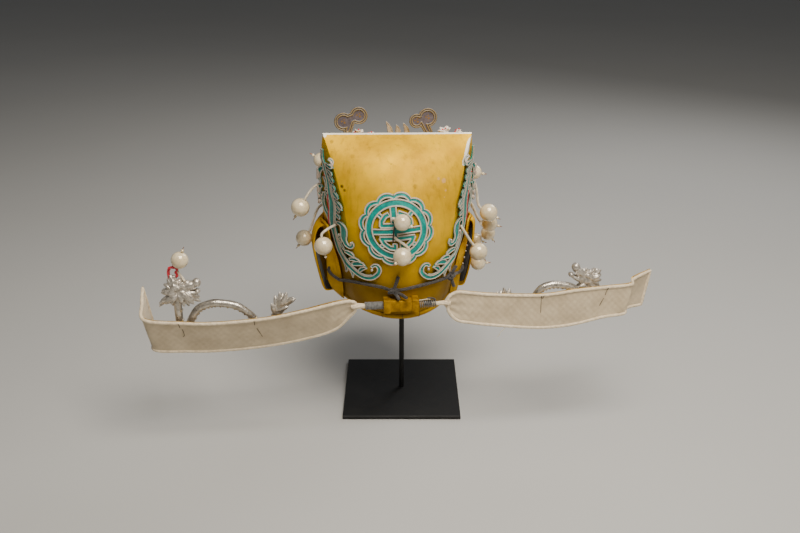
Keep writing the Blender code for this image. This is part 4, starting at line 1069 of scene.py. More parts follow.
@dataclass
class RimRoll:
    """The rolled card edge under the crown's rear rim, tied with dark thread."""
    radius: float = 0.0037
    inset: float = 0.0022
    thread: float = 0.00028
    ties: tuple = (0.385, 0.5, 0.63)

    def line(self) -> Rows:
        """Its middle line, from the left end to the right.

        Returns:
            The line's rows.
        """
        half = [FORM.on_side(0.0, way, -self.inset, Side.RIGHT)[:2] for way in (0.75, 0.55, 0.3, 0.0)]
        back, crease_x, crease_y = FORM.section(np.array(0.0))[:3]
        for share in (0.8, 0.6, 0.4, 0.2, 0.0):
            half.append((crease_x * share, mix(back, crease_y, share ** 2) + self.inset))
        full = [(x, y, self.radius) for x, y in half] + [(-x, y, self.radius) for x, y in half[-2::-1]]
        return smooth_path(full)

    def build(self) -> None:
        """Makes the roll and its thread ties."""
        line = self.line()
        placed(tube("roll", line, self.radius * 0.97, 4), "rim_roll_edge", GOLD, "rim_roll")
        ties, reach = [], self.radius + 0.0002
        for share in self.ties:
            at = Vector(along_rows(line, np.array(share)))
            ahead = Vector(along_rows(line, np.array(share + 0.01))) - at
            hoop = circle(at, ahead.cross(UP).normalized() * reach, UP * reach, 20)
            ties.append(tube("tie", hoop, self.thread, 1, closed=True))
        placed(ties, "rim_ties", DARK_CORD)
        LOG.info("rim roll")


# Raised trims, each a height field over a plane, cut to its outline

def bar(ends: Sequence, halves: Sequence[float]) -> Shape:
    """A flat bar along a path; the shape is the depth inside it.

    Args:
        ends: the path's points in the plane.
        halves: its half-width at each.

    Returns:
        A function of x and y arrays.
    """
    def depth(x: Rows, y: Rows) -> Rows:
        """Depth inside the nearest stretch; the path's two ends are cut square.

        Args:
            x: the points across.
            y: the points up.

        Returns:
            How far inside each point is, negative outside.
        """
        best = np.full_like(x, -1.0)
        for i in range(len(ends) - 1):
            a, b = np.array(ends[i][:2]), np.array(ends[i + 1][:2])
            length = max(np.linalg.norm(b - a), 1e-9)
            ahead = (b - a) / length
            run = (x - a[0]) * ahead[0] + (y - a[1]) * ahead[1]
            off = np.abs((y - a[1]) * ahead[0] - (x - a[0]) * ahead[1])
            half = mix(halves[i], halves[i + 1], np.clip(run / length, 0, 1))
            past = np.maximum(run - length, -run)
            square = ((run < 0) & (i == 0)) | ((run > length) & (i == len(ends) - 2))
            here = np.where(square, np.minimum(half - off, -past), half - np.hypot(off, np.maximum(past, 0)))
            best = np.maximum(best, here)
        return best

    return depth


def either(*shapes: Shape) -> Shape:
    """The union of shapes."""
    return lambda x, y: np.maximum.reduce([shape(x, y) for shape in shapes])


def disc(x0: float, y0: float, radius: float) -> Shape:
    """A round shape about a place."""
    return lambda x, y: radius - np.hypot(x - x0, y - y0)


def upright(y0: float) -> Lift:
    """A lift that stands a trim's plane up across the hat, its face to the back."""
    return lambda x, y, out: stacked(x, y0 - out, y)


@dataclass
class Relief:
    """A card trim with raised cord lines along its edges.

    Its shapes lie over each other in order, and each is outlined where nothing covers it.
    """
    shapes: Sequence[Shape]
    low: tuple[float, float]
    high: tuple[float, float]
    lift: Lift
    card: float = CARD
    line: float = 0.00065
    rise: float = 0.0009
    cell: float = 0.00042
    inner: Sequence[float] = (0.0,)
    tints: Sequence[Shape] = ()

    def ridge(self, x: Rows, y: Rows) -> Rows:
        """How far points are up a cord line.

        Args:
            x: places across the trim's plane.
            y: places up it.

        Returns:
            Each place's share, 0 to 1.
        """
        ridge = np.zeros_like(x)
        for shape in self.shapes:
            depth = shape(x, y)
            here = np.maximum.reduce([1 - np.abs(depth - at) / self.line for at in self.inner])
            ridge = np.where(depth > -self.line, np.clip(here, 0, 1), ridge)
        return ridge

    def sheet(self, name: str) -> Object:
        """The trim as a closed solid with its lines marked.

        Args:
            name: a working name.

        Returns:
            The object.
        """
        (x0, y0), (x1, y1) = self.low, self.high
        across, up = int((x1 - x0) / self.cell), int((y1 - y0) / self.cell)
        obj = grid_sheet(name, across, up, lambda u, v: stacked(mix(x0, x1, u), mix(y0, y1, v), 0.0))
        depth, edge = either(*self.shapes), -0.9 * self.line
        outside = depth(*coordinates(obj).T[:2]) < edge
        made = bmesh.new()
        made.from_mesh(obj.data)
        gone = [face for face in made.faces if all(outside[vert.index] for vert in face.verts)]
        bmesh.ops.delete(made, geom=gone, context="FACES")
        border = np.array([vert.is_boundary for vert in made.verts])
        made.to_mesh(obj.data)
        made.free()
        x, y = coordinates(obj).T[:2].copy()
        # The stepped border is drawn onto the outline
        step, furthest = 1e-4, 1.5 * self.cell
        for _ in range(3):
            bx, by = x[border], y[border]
            dx = (depth(bx + step, by) - depth(bx - step, by)) / (2 * step)
            dy = (depth(bx, by + step) - depth(bx, by - step)) / (2 * step)
            shift = np.clip((edge - depth(bx, by)) / np.maximum(dx * dx + dy * dy, 0.25), -furthest, furthest)
            x[border], y[border] = bx + dx * shift, by + dy * shift
        ridge = self.ridge(x, y)
        reshape(obj, self.lift(x, y, self.card + self.rise * np.sqrt(np.clip(1 - (1 - ridge) ** 2, 0, 1))))
        mark(obj, "line", ridge)
        mark(obj, "tint", (either(*self.tints)(x, y) > 0) * 1.0 if self.tints else 0 * x)
        below = self.lift(x[:1], y[:1], np.zeros(1))[0] - self.lift(x[:1], y[:1], np.ones(1))[0]
        return walled(obj, self.card * 0.96, -1 if obj.data.polygons[0].normal.dot(Vector(below)) < 0 else 1)


@dataclass
class Roundel:
    """The round pierced longevity figure in its lobed border."""
    x: float = -0.0075
    z: float = 0.116
    seat: float = 0.0008
    tilt: float = math.radians(4.5)
    lobes: int = 12
    lobe_tip: float = 0.0435
    lobe_valley: float = 0.0395
    lobe_inner: float = 0.0394
    ring_outer: float = 0.0355
    ring_inner: float = 0.0282
    tie: float = 0.07
    line: float = 0.00105
    rise: float = 0.001
    # The trim as it lies on the real one, a little lower and tighter than its solid
    shift: tuple = (0.001, -0.0028)
    fit: float = 0.94
    # The bare wire over the figure: across, up and out
    wire: tuple = milli(
        (-8.3, 126.2, 2), (-8.5, 124.7, 5), (-9.8, 112, 5.6), (-10.7, 101, 4.8), (-10.9, 99.5, 2))
    # Half-width, then points: shares of the ring's inner radius
    strokes: tuple = (
        (0.12, ((-0.07, 1.08), (-0.07, 0.72), (-0.07, 0.3))),
        (0.075, ((-0.06, 0.34), (-0.06, 0.0), (-0.06, -0.37))),
        (0.085, ((-0.64, 0.22), (-0.3, 0.22), (0.0, 0.22), (0.3, 0.22), (0.62, 0.22))),
        (0.11, ((-1.08, -0.04), (1.08, -0.04))), (0.085, ((-0.7, -0.34), (0.7, -0.34))),
        (0.08, ((-0.6, 0.2), (-0.58, 0.4), (-0.44, 0.6), (-0.28, 0.68))),
        (0.08, ((0.6, 0.2), (0.58, 0.4), (0.4, 0.6), (0.14, 0.72))),
        (0.08, ((-0.66, -0.32), (-0.55, -0.56), (-0.34, -0.74), (-0.14, -0.78), (-0.12, -0.58))),
        (0.08, ((0.66, -0.32), (0.55, -0.56), (0.34, -0.74), (0.16, -0.76), (0.16, -0.56))))

    def lobe(self, x: Rows, y: Rows) -> Rows:
        """The lobes' swell at a direction, 0 to 1."""
        return np.abs(np.sin(np.arctan2(y, x) * self.lobes / 2)) ** 0.7

    def shapes(self) -> list[Shape]:
        """Border, ring, figure and the four small ties.

        Returns:
            The shapes from the lowest up.
        """
        def border(x: Rows, y: Rows) -> Rows:
            """The lobed band round the ring.

            Args:
                x: across from the middle.
                y: up from the middle.

            Returns:
                How far inside the band each point is.
            """
            reach, swell = np.hypot(x, y), self.lobe(x, y)
            outer = mix(self.lobe_valley, self.lobe_tip, swell)
            inner = mix(self.ring_outer, self.lobe_inner, swell) - GAP
            return np.minimum(outer - reach, reach - inner)

        def ring(x: Rows, y: Rows) -> Rows:
            """The plain ring."""
            reach = np.hypot(x, y)
            return np.minimum(self.ring_outer - reach, reach - self.ring_inner)

        inner = self.ring_inner
        figure = [bar([(px * inner, py * inner) for px, py in points], [width * inner] * len(points))
                  for width, points in self.strokes]
        ties = []
        for i in range(4):
            turn = math.pi / 4 + i * math.pi / 2
            ends = [(s * inner * math.cos(turn), s * inner * math.sin(turn)) for s in (0.76, 0.98)]
            ties.append(bar(ends, [self.tie * inner] * 2))
        return [border, either(*ties), either(*figure), ring]

    def build(self) -> None:
        """Makes the roundel and its wire."""
        c, s = self.fit * math.cos(self.tilt), self.fit * math.sin(self.tilt)
        x0, z0 = self.x + self.shift[0], self.z + self.shift[1]

        def lift(x: Rows, y: Rows, out: Rows) -> Rows:
            """The trim's place over the crown's back."""
            return FORM.on_back(x0 + x * c - y * s, z0 + x * s + y * c, self.seat + out)

        reach = self.lobe_tip + 0.002
        trim = Relief(self.shapes(), (-reach, -reach), (reach, reach), lift, line=self.line, rise=self.rise)
        trim = placed(trim.sheet("roundel"), "roundel_trim", TEAL, "medallion", smooth=50)
        wire = [FORM.at_back(*row) for row in self.wire]
        placed(tube("wire", wire, 0.0007), "roundel_wire", DARK_THREAD)
        LOG.info("roundel: %d faces", len(trim.data.polygons))


@dataclass
class Scrolls:
    """The pair of leafy scrolls down the creases, each with a red thread and three small beads."""
    seat: float = 0.0016
    rail: float = 0.0085
    line: float = 0.0007
    rise: float = 0.001
    spot: tuple = (0.914, 0.785)
    # Rows of across, up and half-width, from the top down: shares of the crown's half-width and height
    stem: tuple = milli(
        (937, 933, 6), (940, 904, 10), (940, 877, 13), (914, 841, 15), (900, 808, 15), (882, 782, 16),
        (869, 748, 18), (862, 712, 20), (849, 670, 25), (834, 642, 29), (833, 593, 30), (836, 544, 27),
        (834, 495, 24), (810, 442, 19), (785, 398, 20), (746, 355, 23), (696, 328, 25), (658, 307, 25),
        (599, 284, 24), (535, 265, 23), (465, 255, 24), (394, 257, 24), (342, 270, 24), (297, 293, 23),
        (282, 318, 21), (302, 338, 18), (342, 340, 15), (373, 327, 14))
    curl: tuple = milli(
        (778, 530, 13), (735, 536, 24), (705, 524, 30), (696, 493, 32), (699, 461, 29), (685, 441, 23),
        (658, 423, 19), (622, 420, 18), (599, 434, 15), (612, 449, 13))
    strand: tuple = milli((932, 669, 15), (944, 619, 15), (922, 572, 19), (885, 544, 23), (868, 509, 9))
    # Leaves: the root's and the tip's across and up, and the half-width
    leaves: tuple = milli(
        (938, 825, 971, 723, 26), (964, 706, 981, 649, 24), (972, 651, 998, 593, 18),
        (919, 771, 912, 692, 19), (913, 682, 880, 626, 19), (862, 890, 830, 860, 10),
        (897, 856, 831, 845, 20), (876, 828, 834, 804, 18), (859, 793, 827, 762, 20),
        (850, 748, 801, 721, 21), (820, 709, 772, 675, 24), (798, 663, 722, 624, 21),
        (793, 625, 748, 601, 21), (795, 582, 746, 560, 23), (770, 447, 728, 421, 16),
        (742, 413, 700, 387, 16), (684, 306, 597, 235, 18), (724, 328, 676, 251, 16),
        (686, 384, 585, 363, 23), (637, 345, 510, 342, 22), (603, 318, 453, 328, 28),
        (524, 282, 432, 315, 20))
    red_line: tuple = milli(
        (870, 680), (873, 651), (873, 620), (864, 593), (872, 548), (870, 522), (869, 493))
    # Across and up as shares, and the radius
    beads: tuple = milli((746, 465, 1.8), (370, 311, 1.7), (616, 446, 1.2))
    # How far each scroll's foot is drawn in, and from and to which share of the height
    drawn: dict = pair(0.0, 0.0056)
    foot: tuple = (0.42, 0.3)

    def across(self, side: Side, x: Rows, y: Rows) -> Rows:
        """The place across the back of a point in the plane of the right half."""
        top, low = (share * FORM.height for share in self.foot)
        return side.value * (x - self.drawn[side] * np.clip((top - y) / (top - low), 0, 1))

    def shapes(self) -> list[Shape]:
        """Leaves, strand, rail, curl and stem in the plane of the right half.

        Returns:
            The shapes from the lowest up.
        """
        wide, tall = FORM.half_width, FORM.height
        scale = np.array((wide, tall, wide))
        stem, curl, strand = (smooth_path(rows, 3) * scale for rows in (self.stem, self.curl, self.strand))
        leaves = []
        for x0, y0, x1, y1, half in self.leaves:
            root, tip = np.array((x0 * wide, y0 * tall)), np.array((x1 * wide, y1 * tall))
            ahead = tip - root
            bow = np.array((ahead[1], -ahead[0])) * (0.16 if x1 < x0 else -0.16)
            path = [root + ahead * t + bow * 4 * t * (1 - t) for t in (0, 0.25, 0.5, 0.75, 1)]
            leaves.append(bar(path, np.array((0.6, 0.95, 1.0, 0.72, 0.12)) * half * wide))
        ahead = unit(np.gradient(stem[:, :2], axis=0))
        inner = stem[:, :2] + stacked(ahead[:, 1], -ahead[:, 0]) * (stem[:, 2:3] + self.rail * wide)
        low = slice(18, -16)
        rail = bar(inner[low], np.full(len(inner[low]), self.rail * wide))
        return [*leaves, bar(strand, strand[:, 2]), rail, bar(curl, curl[:, 2]), bar(stem, stem[:, 2])]

    def build(self) -> None:
        """Makes both scrolls and what is tied on them."""
        shapes, face = self.shapes(), self.seat + CARD
        wide, tall = FORM.half_width, FORM.height
        for side in Side:
            word, hand = side.word, side.value

            def lift(x: Rows, y: Rows, out: Rows, side: Side = side) -> Rows:
                """The scroll's place over the crown's back."""
                return FORM.on_back(self.across(side, x, y), y, self.seat + out)

            trim = Relief(shapes, (0.24 * wide, 0.22 * tall), (1.08 * wide, 0.95 * tall), lift,
                          line=self.line, rise=self.rise)
            placed(trim.sheet("scroll"), "scroll_trim_" + word, TEAL, "scroll_" + word, smooth=50)
            thread = [FORM.at_back(hand * across * wide, up * tall, face + 0.0012)
                      for across, up in smooth_path(self.red_line, 5)]
            spot = ball(FORM.at_back(hand * self.spot[0] * wide, self.spot[1] * tall, face + 0.0008),
                        0.0009, 10)
            placed([tube("thread", thread, 0.0006, 1), spot], "scroll_touches_" + word, RED_PAINT)
            beads = []
            for across, up, radius in self.beads:
                x = float(self.across(side, across * wide, up * tall))
                beads.append(ball(FORM.at_back(x, up * tall, face + 0.0006), radius, 16))
            placed(beads, "scroll_beads_" + word, SILVER, smooth=60)
        LOG.info("scrolls")


# Wings, their springs and the box that carries them

@dataclass
class WingSocket:
    """The gold box tube at the back, with a collar at each end."""
    x: float = -0.0025
    z: float = 0.024
    length: float = 0.041
    height: float = 0.0135
    depth: float = 0.011
    collar: float = 0.008
    step: float = 0.0015
    peg: float = 0.0029
    spring: float = 0.021

    def at(self) -> Vector:
        """The box's middle."""
        y = float(FORM.back_y(0.0, self.z + self.height / 2)) - GAP - self.depth / 2
        return Vector((self.x, y, self.z))

    def box(self, x: float, length: float, height: float, depth: float, edge: float) -> Object:
        """A box along the tube with rounded edges.

        Args:
            x: its middle, from the tube's.
            length: along the tube.
            height: up.
            depth: to and fro.
            edge: how far its edges are rounded.

        Returns:
            The object.
        """
        deselect()
        bpy.ops.mesh.primitive_cube_add(size=1, location=self.at() + Vector((x, 0, 0)))
        made = bpy.context.object
        made.scale = (length, depth, height)
        bpy.ops.object.transform_apply(location=True, rotation=True, scale=True)
        return modify(made, "BEVEL", width=edge, segments=3)

    def along(self, side: Side, *runs: float) -> list[Vector]:
        """Points on the tube's line past its end."""
        return [self.at() + Vector((side.value * (self.length / 2 + run), 0, 0)) for run in runs]

    def build(self) -> None:
        """Makes the box, its collars and pegs."""
        parts = [self.box(0, self.length - 0.001, self.height, self.depth, 0.001)]
        for side in Side:
            x = side.value * (self.length - self.collar) / 2
            high, deep = self.height + 2 * self.step, self.depth + 2 * self.step
            parts.append(self.box(x, self.collar, high, deep, 0.0009))
            parts.append(tube("peg", self.along(side, -0.002, 0.006), self.peg, 4))
        # The box wears the darker gold, which is painted shade
        placed(parts, "socket_box", SHADED_GOLD, "wing_socket")
        LOG.info("wing socket")


@dataclass
class Springs:
    """The spring bound with grey thread on the left, and the open coil on the right."""
    socket: WingSocket
    radius: float = 0.0046
    turns: int = 9

    def build(self) -> None:
        """Makes both springs, and the thread and cord ends on the right one."""
        run, start = self.socket.spring, self.socket.length / 2 + GAP
        left = self.socket.along(Side.LEFT, GAP + 0.0004, GAP + run - 0.0004)
        bound = tube("bound", wound(left, self.radius - 0.0009, 0.00175, 20), 0.00092)
        placed([tube("core", left, self.radius - 0.0012, 5), bound], "spring_bound", GREY_THREAD,
               "spring_left")
        right = self.socket.along(Side.RIGHT, GAP + 0.0006, GAP + run - 0.0006)
        coil = tube("coil", wound(right, self.radius - 0.0008, run / (self.turns + 0.5), 24), 0.00066)
        placed(coil, "spring_coil", STEEL_WIRE, "spring_right")
        placed(tube("core", right, self.radius - 0.0024, 4), "spring_core", DARK_CORD)
        top = self.socket.at() + Vector((start, -0.0012, self.radius + 0.0004))
        strand = led(top, (0.2, 0, 0.2), (5, -0.3, 0.8), (9.5, 0, 1.4), (13, 0, 1))
        placed(tube("strand", strand, 0.0005, 1), "spring_thread", CREAM_THREAD)
        end = led(top, (9.8, 0.6, 2.2), (13.5, 0.2, 2.6), (17, 0, 1.9), (19, 0, 0.3))
        placed(tube("end", end, 0.001), "spring_cord_end", DARK_CORD)
        LOG.info("springs")


@dataclass
class Wings:
    """The long cloth-covered wings: a woven panel between rolled rims, on a wrapped neck."""
    socket: WingSocket
    reach: float = 0.24
    depth: float = 0.046
    rim: float = 0.0021
    thickness: float = 0.0009
    neck_radius: float = 0.0026
    neck_shown: float = 0.0078
    neck_insert: float = 0.007
    gather: float = 0.0011
    ripple: float = 0.0005
    # Outwards, top, bottom, top forward, bottom forward: shares of the reach and of the depth
    tables: dict = pair(
        ((0, 0.06, -0.05, 0, 0), (0.04, 0.15, -0.3, -0.02, 0.05), (0.115, 0.1, -0.7, -0.04, 0.14),
         (0.265, -0.07, -0.98, -0.06, 0.24), (0.455, -0.24, -1.16, -0.06, 0.28),
         (0.685, -0.31, -1.24, -0.06, 0.28), (0.84, -0.27, -1.22, -0.05, 0.28),
         (1.000, -0.17, -1.17, 0, 0.3), (1.013, 0.15, -1.06, 0.3, 0.6), (1.015, 0.41, -0.96, 0.64, 0.95)),
        ((0, 0.06, -0.05, 0, 0), (0.06, 0.27, -0.47, 0.02, 0), (0.14, 0.22, -0.565, 0.04, -0.04),
         (0.255, 0.15, -0.66, 0.04, -0.04), (0.48, 0.1, -0.78, 0.02, -0.04),
         (0.65, 0.2, -0.73, 0.02, -0.03), (0.8, 0.26, -0.56, 0.02, -0.02), (0.915, 0.31, -0.49, 0.02, 0),
         (0.927, 0.425, -0.375, 0.1, 0.08), (1.023, 0.54, -0.4, 0.34, 0.32)))
    # How far the far end leans in at the top, as a share of the reach, and how late that starts
    slants: dict = pair((-0.012, 6), (-0.014, 2))
    # How the necks swell from the spring to the panel
    necks: dict = pair((1, 1.2, 1.45, 1.6, 1.0), (1, 1.0, 1.15, 1.35, 1.0))
    folds: int = 7
    # How far out the gold edging shows over the rim
    bare: dict = pair(0.24, 0.86)
    # The stitches: from and to, outwards and down
    stitches: dict = pair(
        milli((672, -20, 671, 150), (664, 200, 662, 420), (662, 420, 668, 470), (465, -20, 465, 160),
              (461, 300, 450, 620)),
        milli((443, -20, 445, 530), (449, -20, 447, 100), (667, -20, 662, 250), (658, 350, 647, 580)))

    def start(self, side: Side) -> Vector:
        """Where the wing's table begins."""
        return self.socket.along(side, self.socket.spring + 2 * GAP + self.neck_shown)[0]

    def edges(self, side: Side) -> Rows:
        """The panel's two edges.

        Args:
            side: which wing.

        Returns:
            Rows of the top edge's point and the bottom edge's.
        """
        rows = smooth_path(self.tables[side], 8)
        reach, top, bottom, top_in, bottom_in = rows.T
        x = side.value * reach * self.reach
        share, power = self.slants[side]
        slant = side.value * share * self.reach * np.clip(reach, 0, 2) ** power
        start = np.array(self.start(side))
        top_row = stacked(x - slant, top_in * self.depth, top * self.depth)
        bottom_row = stacked(x + slant, bottom_in * self.depth, bottom * self.depth)
        return np.hstack([top_row + start, bottom_row + start])

    def at(self, side: Side, u: Rows, v: Rows, out: float = 0.0) -> Rows:
        """Points on the panel.

        Args:
            side: which wing.
            u: 0 at the neck, 1 at the far end.
            v: 0 at the top, 1 at the bottom.
            out: how far towards the back.

        Returns:
            The points as rows.
        """
        rows = along_rows(self.edges(side), u)
        top, bottom = rows[..., :3], rows[..., 3:]
        point = mix(top, bottom, np.asarray(v)[..., None])
        # Gathers at the neck, fading outwards, and a slow ripple
        u, v = np.asarray(u), np.asarray(v)
        gather = self.gather * np.sin(v * 21 + 1) * np.exp(-u / 0.1) * np.clip(u * 14, 0, 1)
        ripple = self.ripple * np.sin(u * 23 + 3 * v) * np.sin(v * math.pi)
        point[..., 1] -= out + gather + ripple
        return point

    def wing(self, side: Side) -> None:
        """One wing: panel, rim, neck, gold edging and the stitches that hold the dragon.

        Args:
            side: which wing.
        """
        word = side.word
        panel = grid_sheet("panel", 150, 26, lambda u, v: self.at(side, u, 0.03 + 0.94 * v))
        walled(panel, self.thickness, 0)
        placed(panel, "wing_panel_" + word, WING_CLOTH, "wing_" + word, smooth=60)
        edges = self.edges(side)
        end = mix(edges[-1:, :3], edges[-1:, 3:], 0.5)
        line = evenly(np.vstack([edges[3:, :3], end, edges[:2:-1, 3:]]), 0.0022)
        shares = [0.92 + 0.1 * noise.noise(at * 320) for at in line]
        rim = tube("rim", line, self.rim, 3, shares, closed=True)
        placed(rim, "wing_rim_" + word, RIM_CLOTH, smooth=60)
        placed(self.neck(side), "wing_neck_" + word, RIM_CLOTH, smooth=60)
        placed(self.edging(side), "wing_edging_" + word, GOLD_THREAD)
        threads, t = [], np.linspace(0, 1, 7)
        for u0, v0, u1, v1 in self.stitches[side]:
            down = mix(v0, v1, t)
            line = self.at(side, mix(u0, u1, t), down, self.thickness / 2 + 0.0002)
            line[:, 1] -= np.exp(-(down / 0.05) ** 2) * (self.rim + 0.0002)
            threads.append(tube("stitch", line, 0.00032, 1))
        placed(threads, "wing_stitches_" + word, DARK_THREAD)
        LOG.info("wing %s", word)

    def neck(self, side: Side) -> list[Object]:
        """The gathered cloth wound round the wire, with its folds.

        Args:
            side: which wing.

        Returns:
            The neck's parts.
        """
        runs = (-self.neck_insert - self.neck_shown, -self.neck_shown, 0.0, 0.004, 0.008)
        line = [self.start(side) + Vector((side.value * run, 0, 0)) for run in runs]
        swell = self.necks[side]
        parts = [tube("neck", line, self.neck_radius - 0.0004, 6, swell)]
        for turn in np.linspace(0, TURN, self.folds, endpoint=False):
            fold = [at + Vector((0, math.cos(turn + 0.36 * i), math.sin(turn + 0.36 * i)))
                    * (self.neck_radius - 0.0006) * share
                    for i, (at, share) in enumerate(zip(line[1:], swell[1:]))]
            parts.append(tube("fold", fold, 0.0007, 1, (0.6, 1.0, 1.0, 0.7)))
        return parts

    def edging(self, side: Side) -> list[Object]:
        """The gold edging, which shows over the top rim only where the rim is rolled less.

        Args:
            side: which wing.

        Returns:
            The edging's parts.
        """
        u, end = np.linspace(0.1, 1.0, 140), np.linspace(0.0, 1.0, 24)
        top, bottom = (self.at(side, u, np.full_like(u, v), -0.0019) for v in (0.0, 1.0))
        top[:, 2] += 0.0012 + 0.0011 * np.exp(-((u - self.bare[side]) / 0.1) ** 2)
        bottom[:, 2] -= 0.0008
        lines = (top, bottom, self.at(side, np.full_like(end, 0.988), end, -0.0017))
        return [tube("edging", line, 0.0007, 1) for line in lines]

    def build(self) -> None:
        """Makes both wings and the thread that has come loose under the right one."""
        for side in Side:
            self.wing(side)
        root = Vector(self.at(Side.RIGHT, np.array([0.36]), np.array([1.0]))[0])
        loose = led(root, (0, 1, 0.5), (0.2, -0.8, -3.5), (-3.6, -0.4, -7.5),
                    (-5.8, 0, -12.5), (-8, 0, -14))
        placed(tube("loose", loose, 0.00042, 1), "wing_loose_thread", CREAM_THREAD)


@dataclass
class Dragon:
    """A silver dragon wired to a wing's front: scaled body, belly plates, maned head and tail tuft."""
    wings: Wings
    side: Side
    route: tuple
    forward: float
    lean: float
    face: int
    tilt: float
    radius: float = 0.0045
    head: float = 0.04
    beard: bool = True
    # Each lock's root and tip, along the snout and up, and its half-width: shares of the head's length
    mane: tuple = (
        (-0.12, 0.12, -0.42, 0.22, 0.055), (-0.16, 0.04, -0.46, 0.09, 0.05),
        (-0.14, -0.04, -0.55, -0.06, 0.06), (-0.2, -0.1, -0.68, -0.36, 0.055),
        (-0.14, -0.16, -0.47, -0.46, 0.06), (-0.08, -0.2, -0.3, -0.44, 0.05),
        (0.08, -0.18, 0.27, -0.6, 0.055), (0.16, -0.14, 0.5, -0.52, 0.055),
        (0.26, -0.14, 0.63, -0.34, 0.055), (0.00, -0.2, 0.1, -0.44, 0.05), (-0.1, 0.16, -0.28, 0.4, 0.06),
        (-0.04, 0.18, -0.09, 0.5, 0.07), (0.06, 0.16, 0.13, 0.36, 0.055), (0.16, 0.12, 0.28, 0.27, 0.05))
    # Each lock of the tuft: steps back from the tail's end, lean, and length as a share of the head's
    tuft: tuple = (
        (13, 0.8, 0.36), (13, -0.55, 0.28), (10, 0.6, 0.44), (10, -0.5, 0.36), (7, 0.42, 0.5),
        (7, -0.42, 0.42), (5, 0.15, 0.52), (4, -0.25, 0.5), (2, 0.55, 0.36), (1, 0.0, 0.48),
        (1, 0.28, 0.42), (0, -0.5, 0.34))

    def path(self) -> Rows:
        """The body's middle line.

        Returns:
            The line's rows.
        """
        shift = self.side.value * (0.0026 - self.wings.neck_shown)
        start = self.wings.start(self.side) + Vector((shift, 0, 0))
        leans = [self.lean, self.lean / 2] + [0.0] * len(self.route)
        rows = [(self.side.value * reach * self.wings.reach, self.forward + lean, up * self.wings.depth)
                for (reach, up), lean in zip(self.route, leans)]
        return smooth_path(rows, 10) + np.array(start)

    def frame(self) -> tuple[Vector, Matrix]:
        """The head's middle and its axes: snout, aside, above."""
        ahead = Vector((self.face * math.cos(self.tilt), 0, math.sin(self.tilt)))
        above = Vector((-ahead.z * self.face, 0, ahead.x * self.face))
        return Vector(self.path()[0]), Matrix((ahead, above.cross(ahead), above)).transposed()

    def lock(self, root: Vector, way: Vector, bend: Vector, length: float, width: float) -> Object:
        """One leaf-shaped lock of mane, swelling and then bending to its tip."""
        points = [root + way * length * t + bend * length * 0.25 * t * t
                  for t in (0, 0.2, 0.4, 0.6, 0.8, 0.93, 1.0)]
        return tube("lock", points, width, 1, (0.8, 1.0, 1.05, 0.95, 0.72, 0.42, 0.1))

    def head_pieces(self) -> list[Object]:
        """The head, in the dragon's own frame.

        Returns:
            Skull, jaws, brows, horns, nostrils, teeth and mane.
        """
        at, turn = self.frame()
        size = self.head

        def spot(along: float, aside: float, up: float) -> Vector:
            """A place in shares of the head's length."""
            return at + turn @ Vector((along, aside, up)) * size

        def lump(along: float, aside: float, up: float, *half: float, lean: float = 0.0) -> Object:
            """A rounded lump: its place, its half-sizes along, aside and up, and its lean in degrees."""
            axes = turn @ Matrix.Rotation(math.radians(lean), 3, "Y")
            return ball(spot(along, aside, up), [share * size for share in half], 16, axes)

        parts = [lump(0.17, 0, -0.02, 0.19, 0.14, 0.15), lump(0, 0, 0, 0.25, 0.18, 0.23),
                 lump(-0.12, 0, -0.02, 0.24, 0.18, 0.24), lump(0.29, 0, 0.08, 0.29, 0.145, 0.13, lean=-6),
                 lump(0.56, 0, 0.13, 0.125, 0.135, 0.13), lump(0.28, 0, -0.13, 0.27, 0.13, 0.08, lean=6),
                 lump(0.52, 0, -0.135, 0.09, 0.11, 0.078), lump(0.29, 0, 0.19, 0.07, 0.09, 0.06),
                 lump(0.1, 0, 0.26, 0.075, 0.09, 0.07), lump(-0.03, 0, 0.38, 0.07, 0.07, 0.085)]
        for hand in (-1, 1):
            parts += [lump(0.15, 0.15 * hand, 0.14, 0.062, 0.05, 0.062),
                      lump(0.12, 0.14 * hand, 0.215, 0.12, 0.05, 0.042, lean=-15),
                      lump(0.0, 0.11 * hand, -0.2, 0.11, 0.07, 0.1),
                      lump(0.44, 0.08 * hand, -0.02, 0.1, 0.03, 0.022, lean=-8)]
            rim = circle(spot(0.59, 0.085 * hand, 0.13),
                         turn.col[0] * 0.05 * size, turn.col[2] * 0.05 * size, 12)
            parts.append(tube("nostril", rim, 0.016 * size, 1, closed=True))
            down, onward = turn @ Vector((0.1, 0, -1)), turn @ Vector((0.1, 0, 0))
            parts += [self.lock(spot(along, 0.075 * hand, 0.03), down, onward, 0.09 * size, 0.016 * size)
                      for along in (0.22, 0.32, 0.42)]
        for layer, (share, aside) in enumerate(((1.0, 0.0), (0.84, -0.1), (0.84, 0.1), (0.62, -0.15))):
            spin = (0.0, 0.22, -0.2, 0.1)[layer]
            for i, (x0, z0, x1, z1, half) in enumerate(self.mane):
                if x1 > 0.2 and (not self.beard or z1 > 0):
                    continue
                reach = Vector((x1 - x0, 0, z1 - z0)) * share * (0.86, 1.0)[i % 2]
                way = Matrix.Rotation(spin, 3, "Y") @ reach
                way.y = aside * 0.7
                root = spot(x0 * (1 - 0.2 * layer), aside, z0 * (1 - 0.2 * layer))
                bend = turn @ Vector((-way.z, 0, way.x)).normalized() * (0.6 if i % 2 else -0.6)
                parts.append(self.lock(root, turn @ way.normalized(), bend, way.length * size,
                                       1.35 * half * size))
        return parts

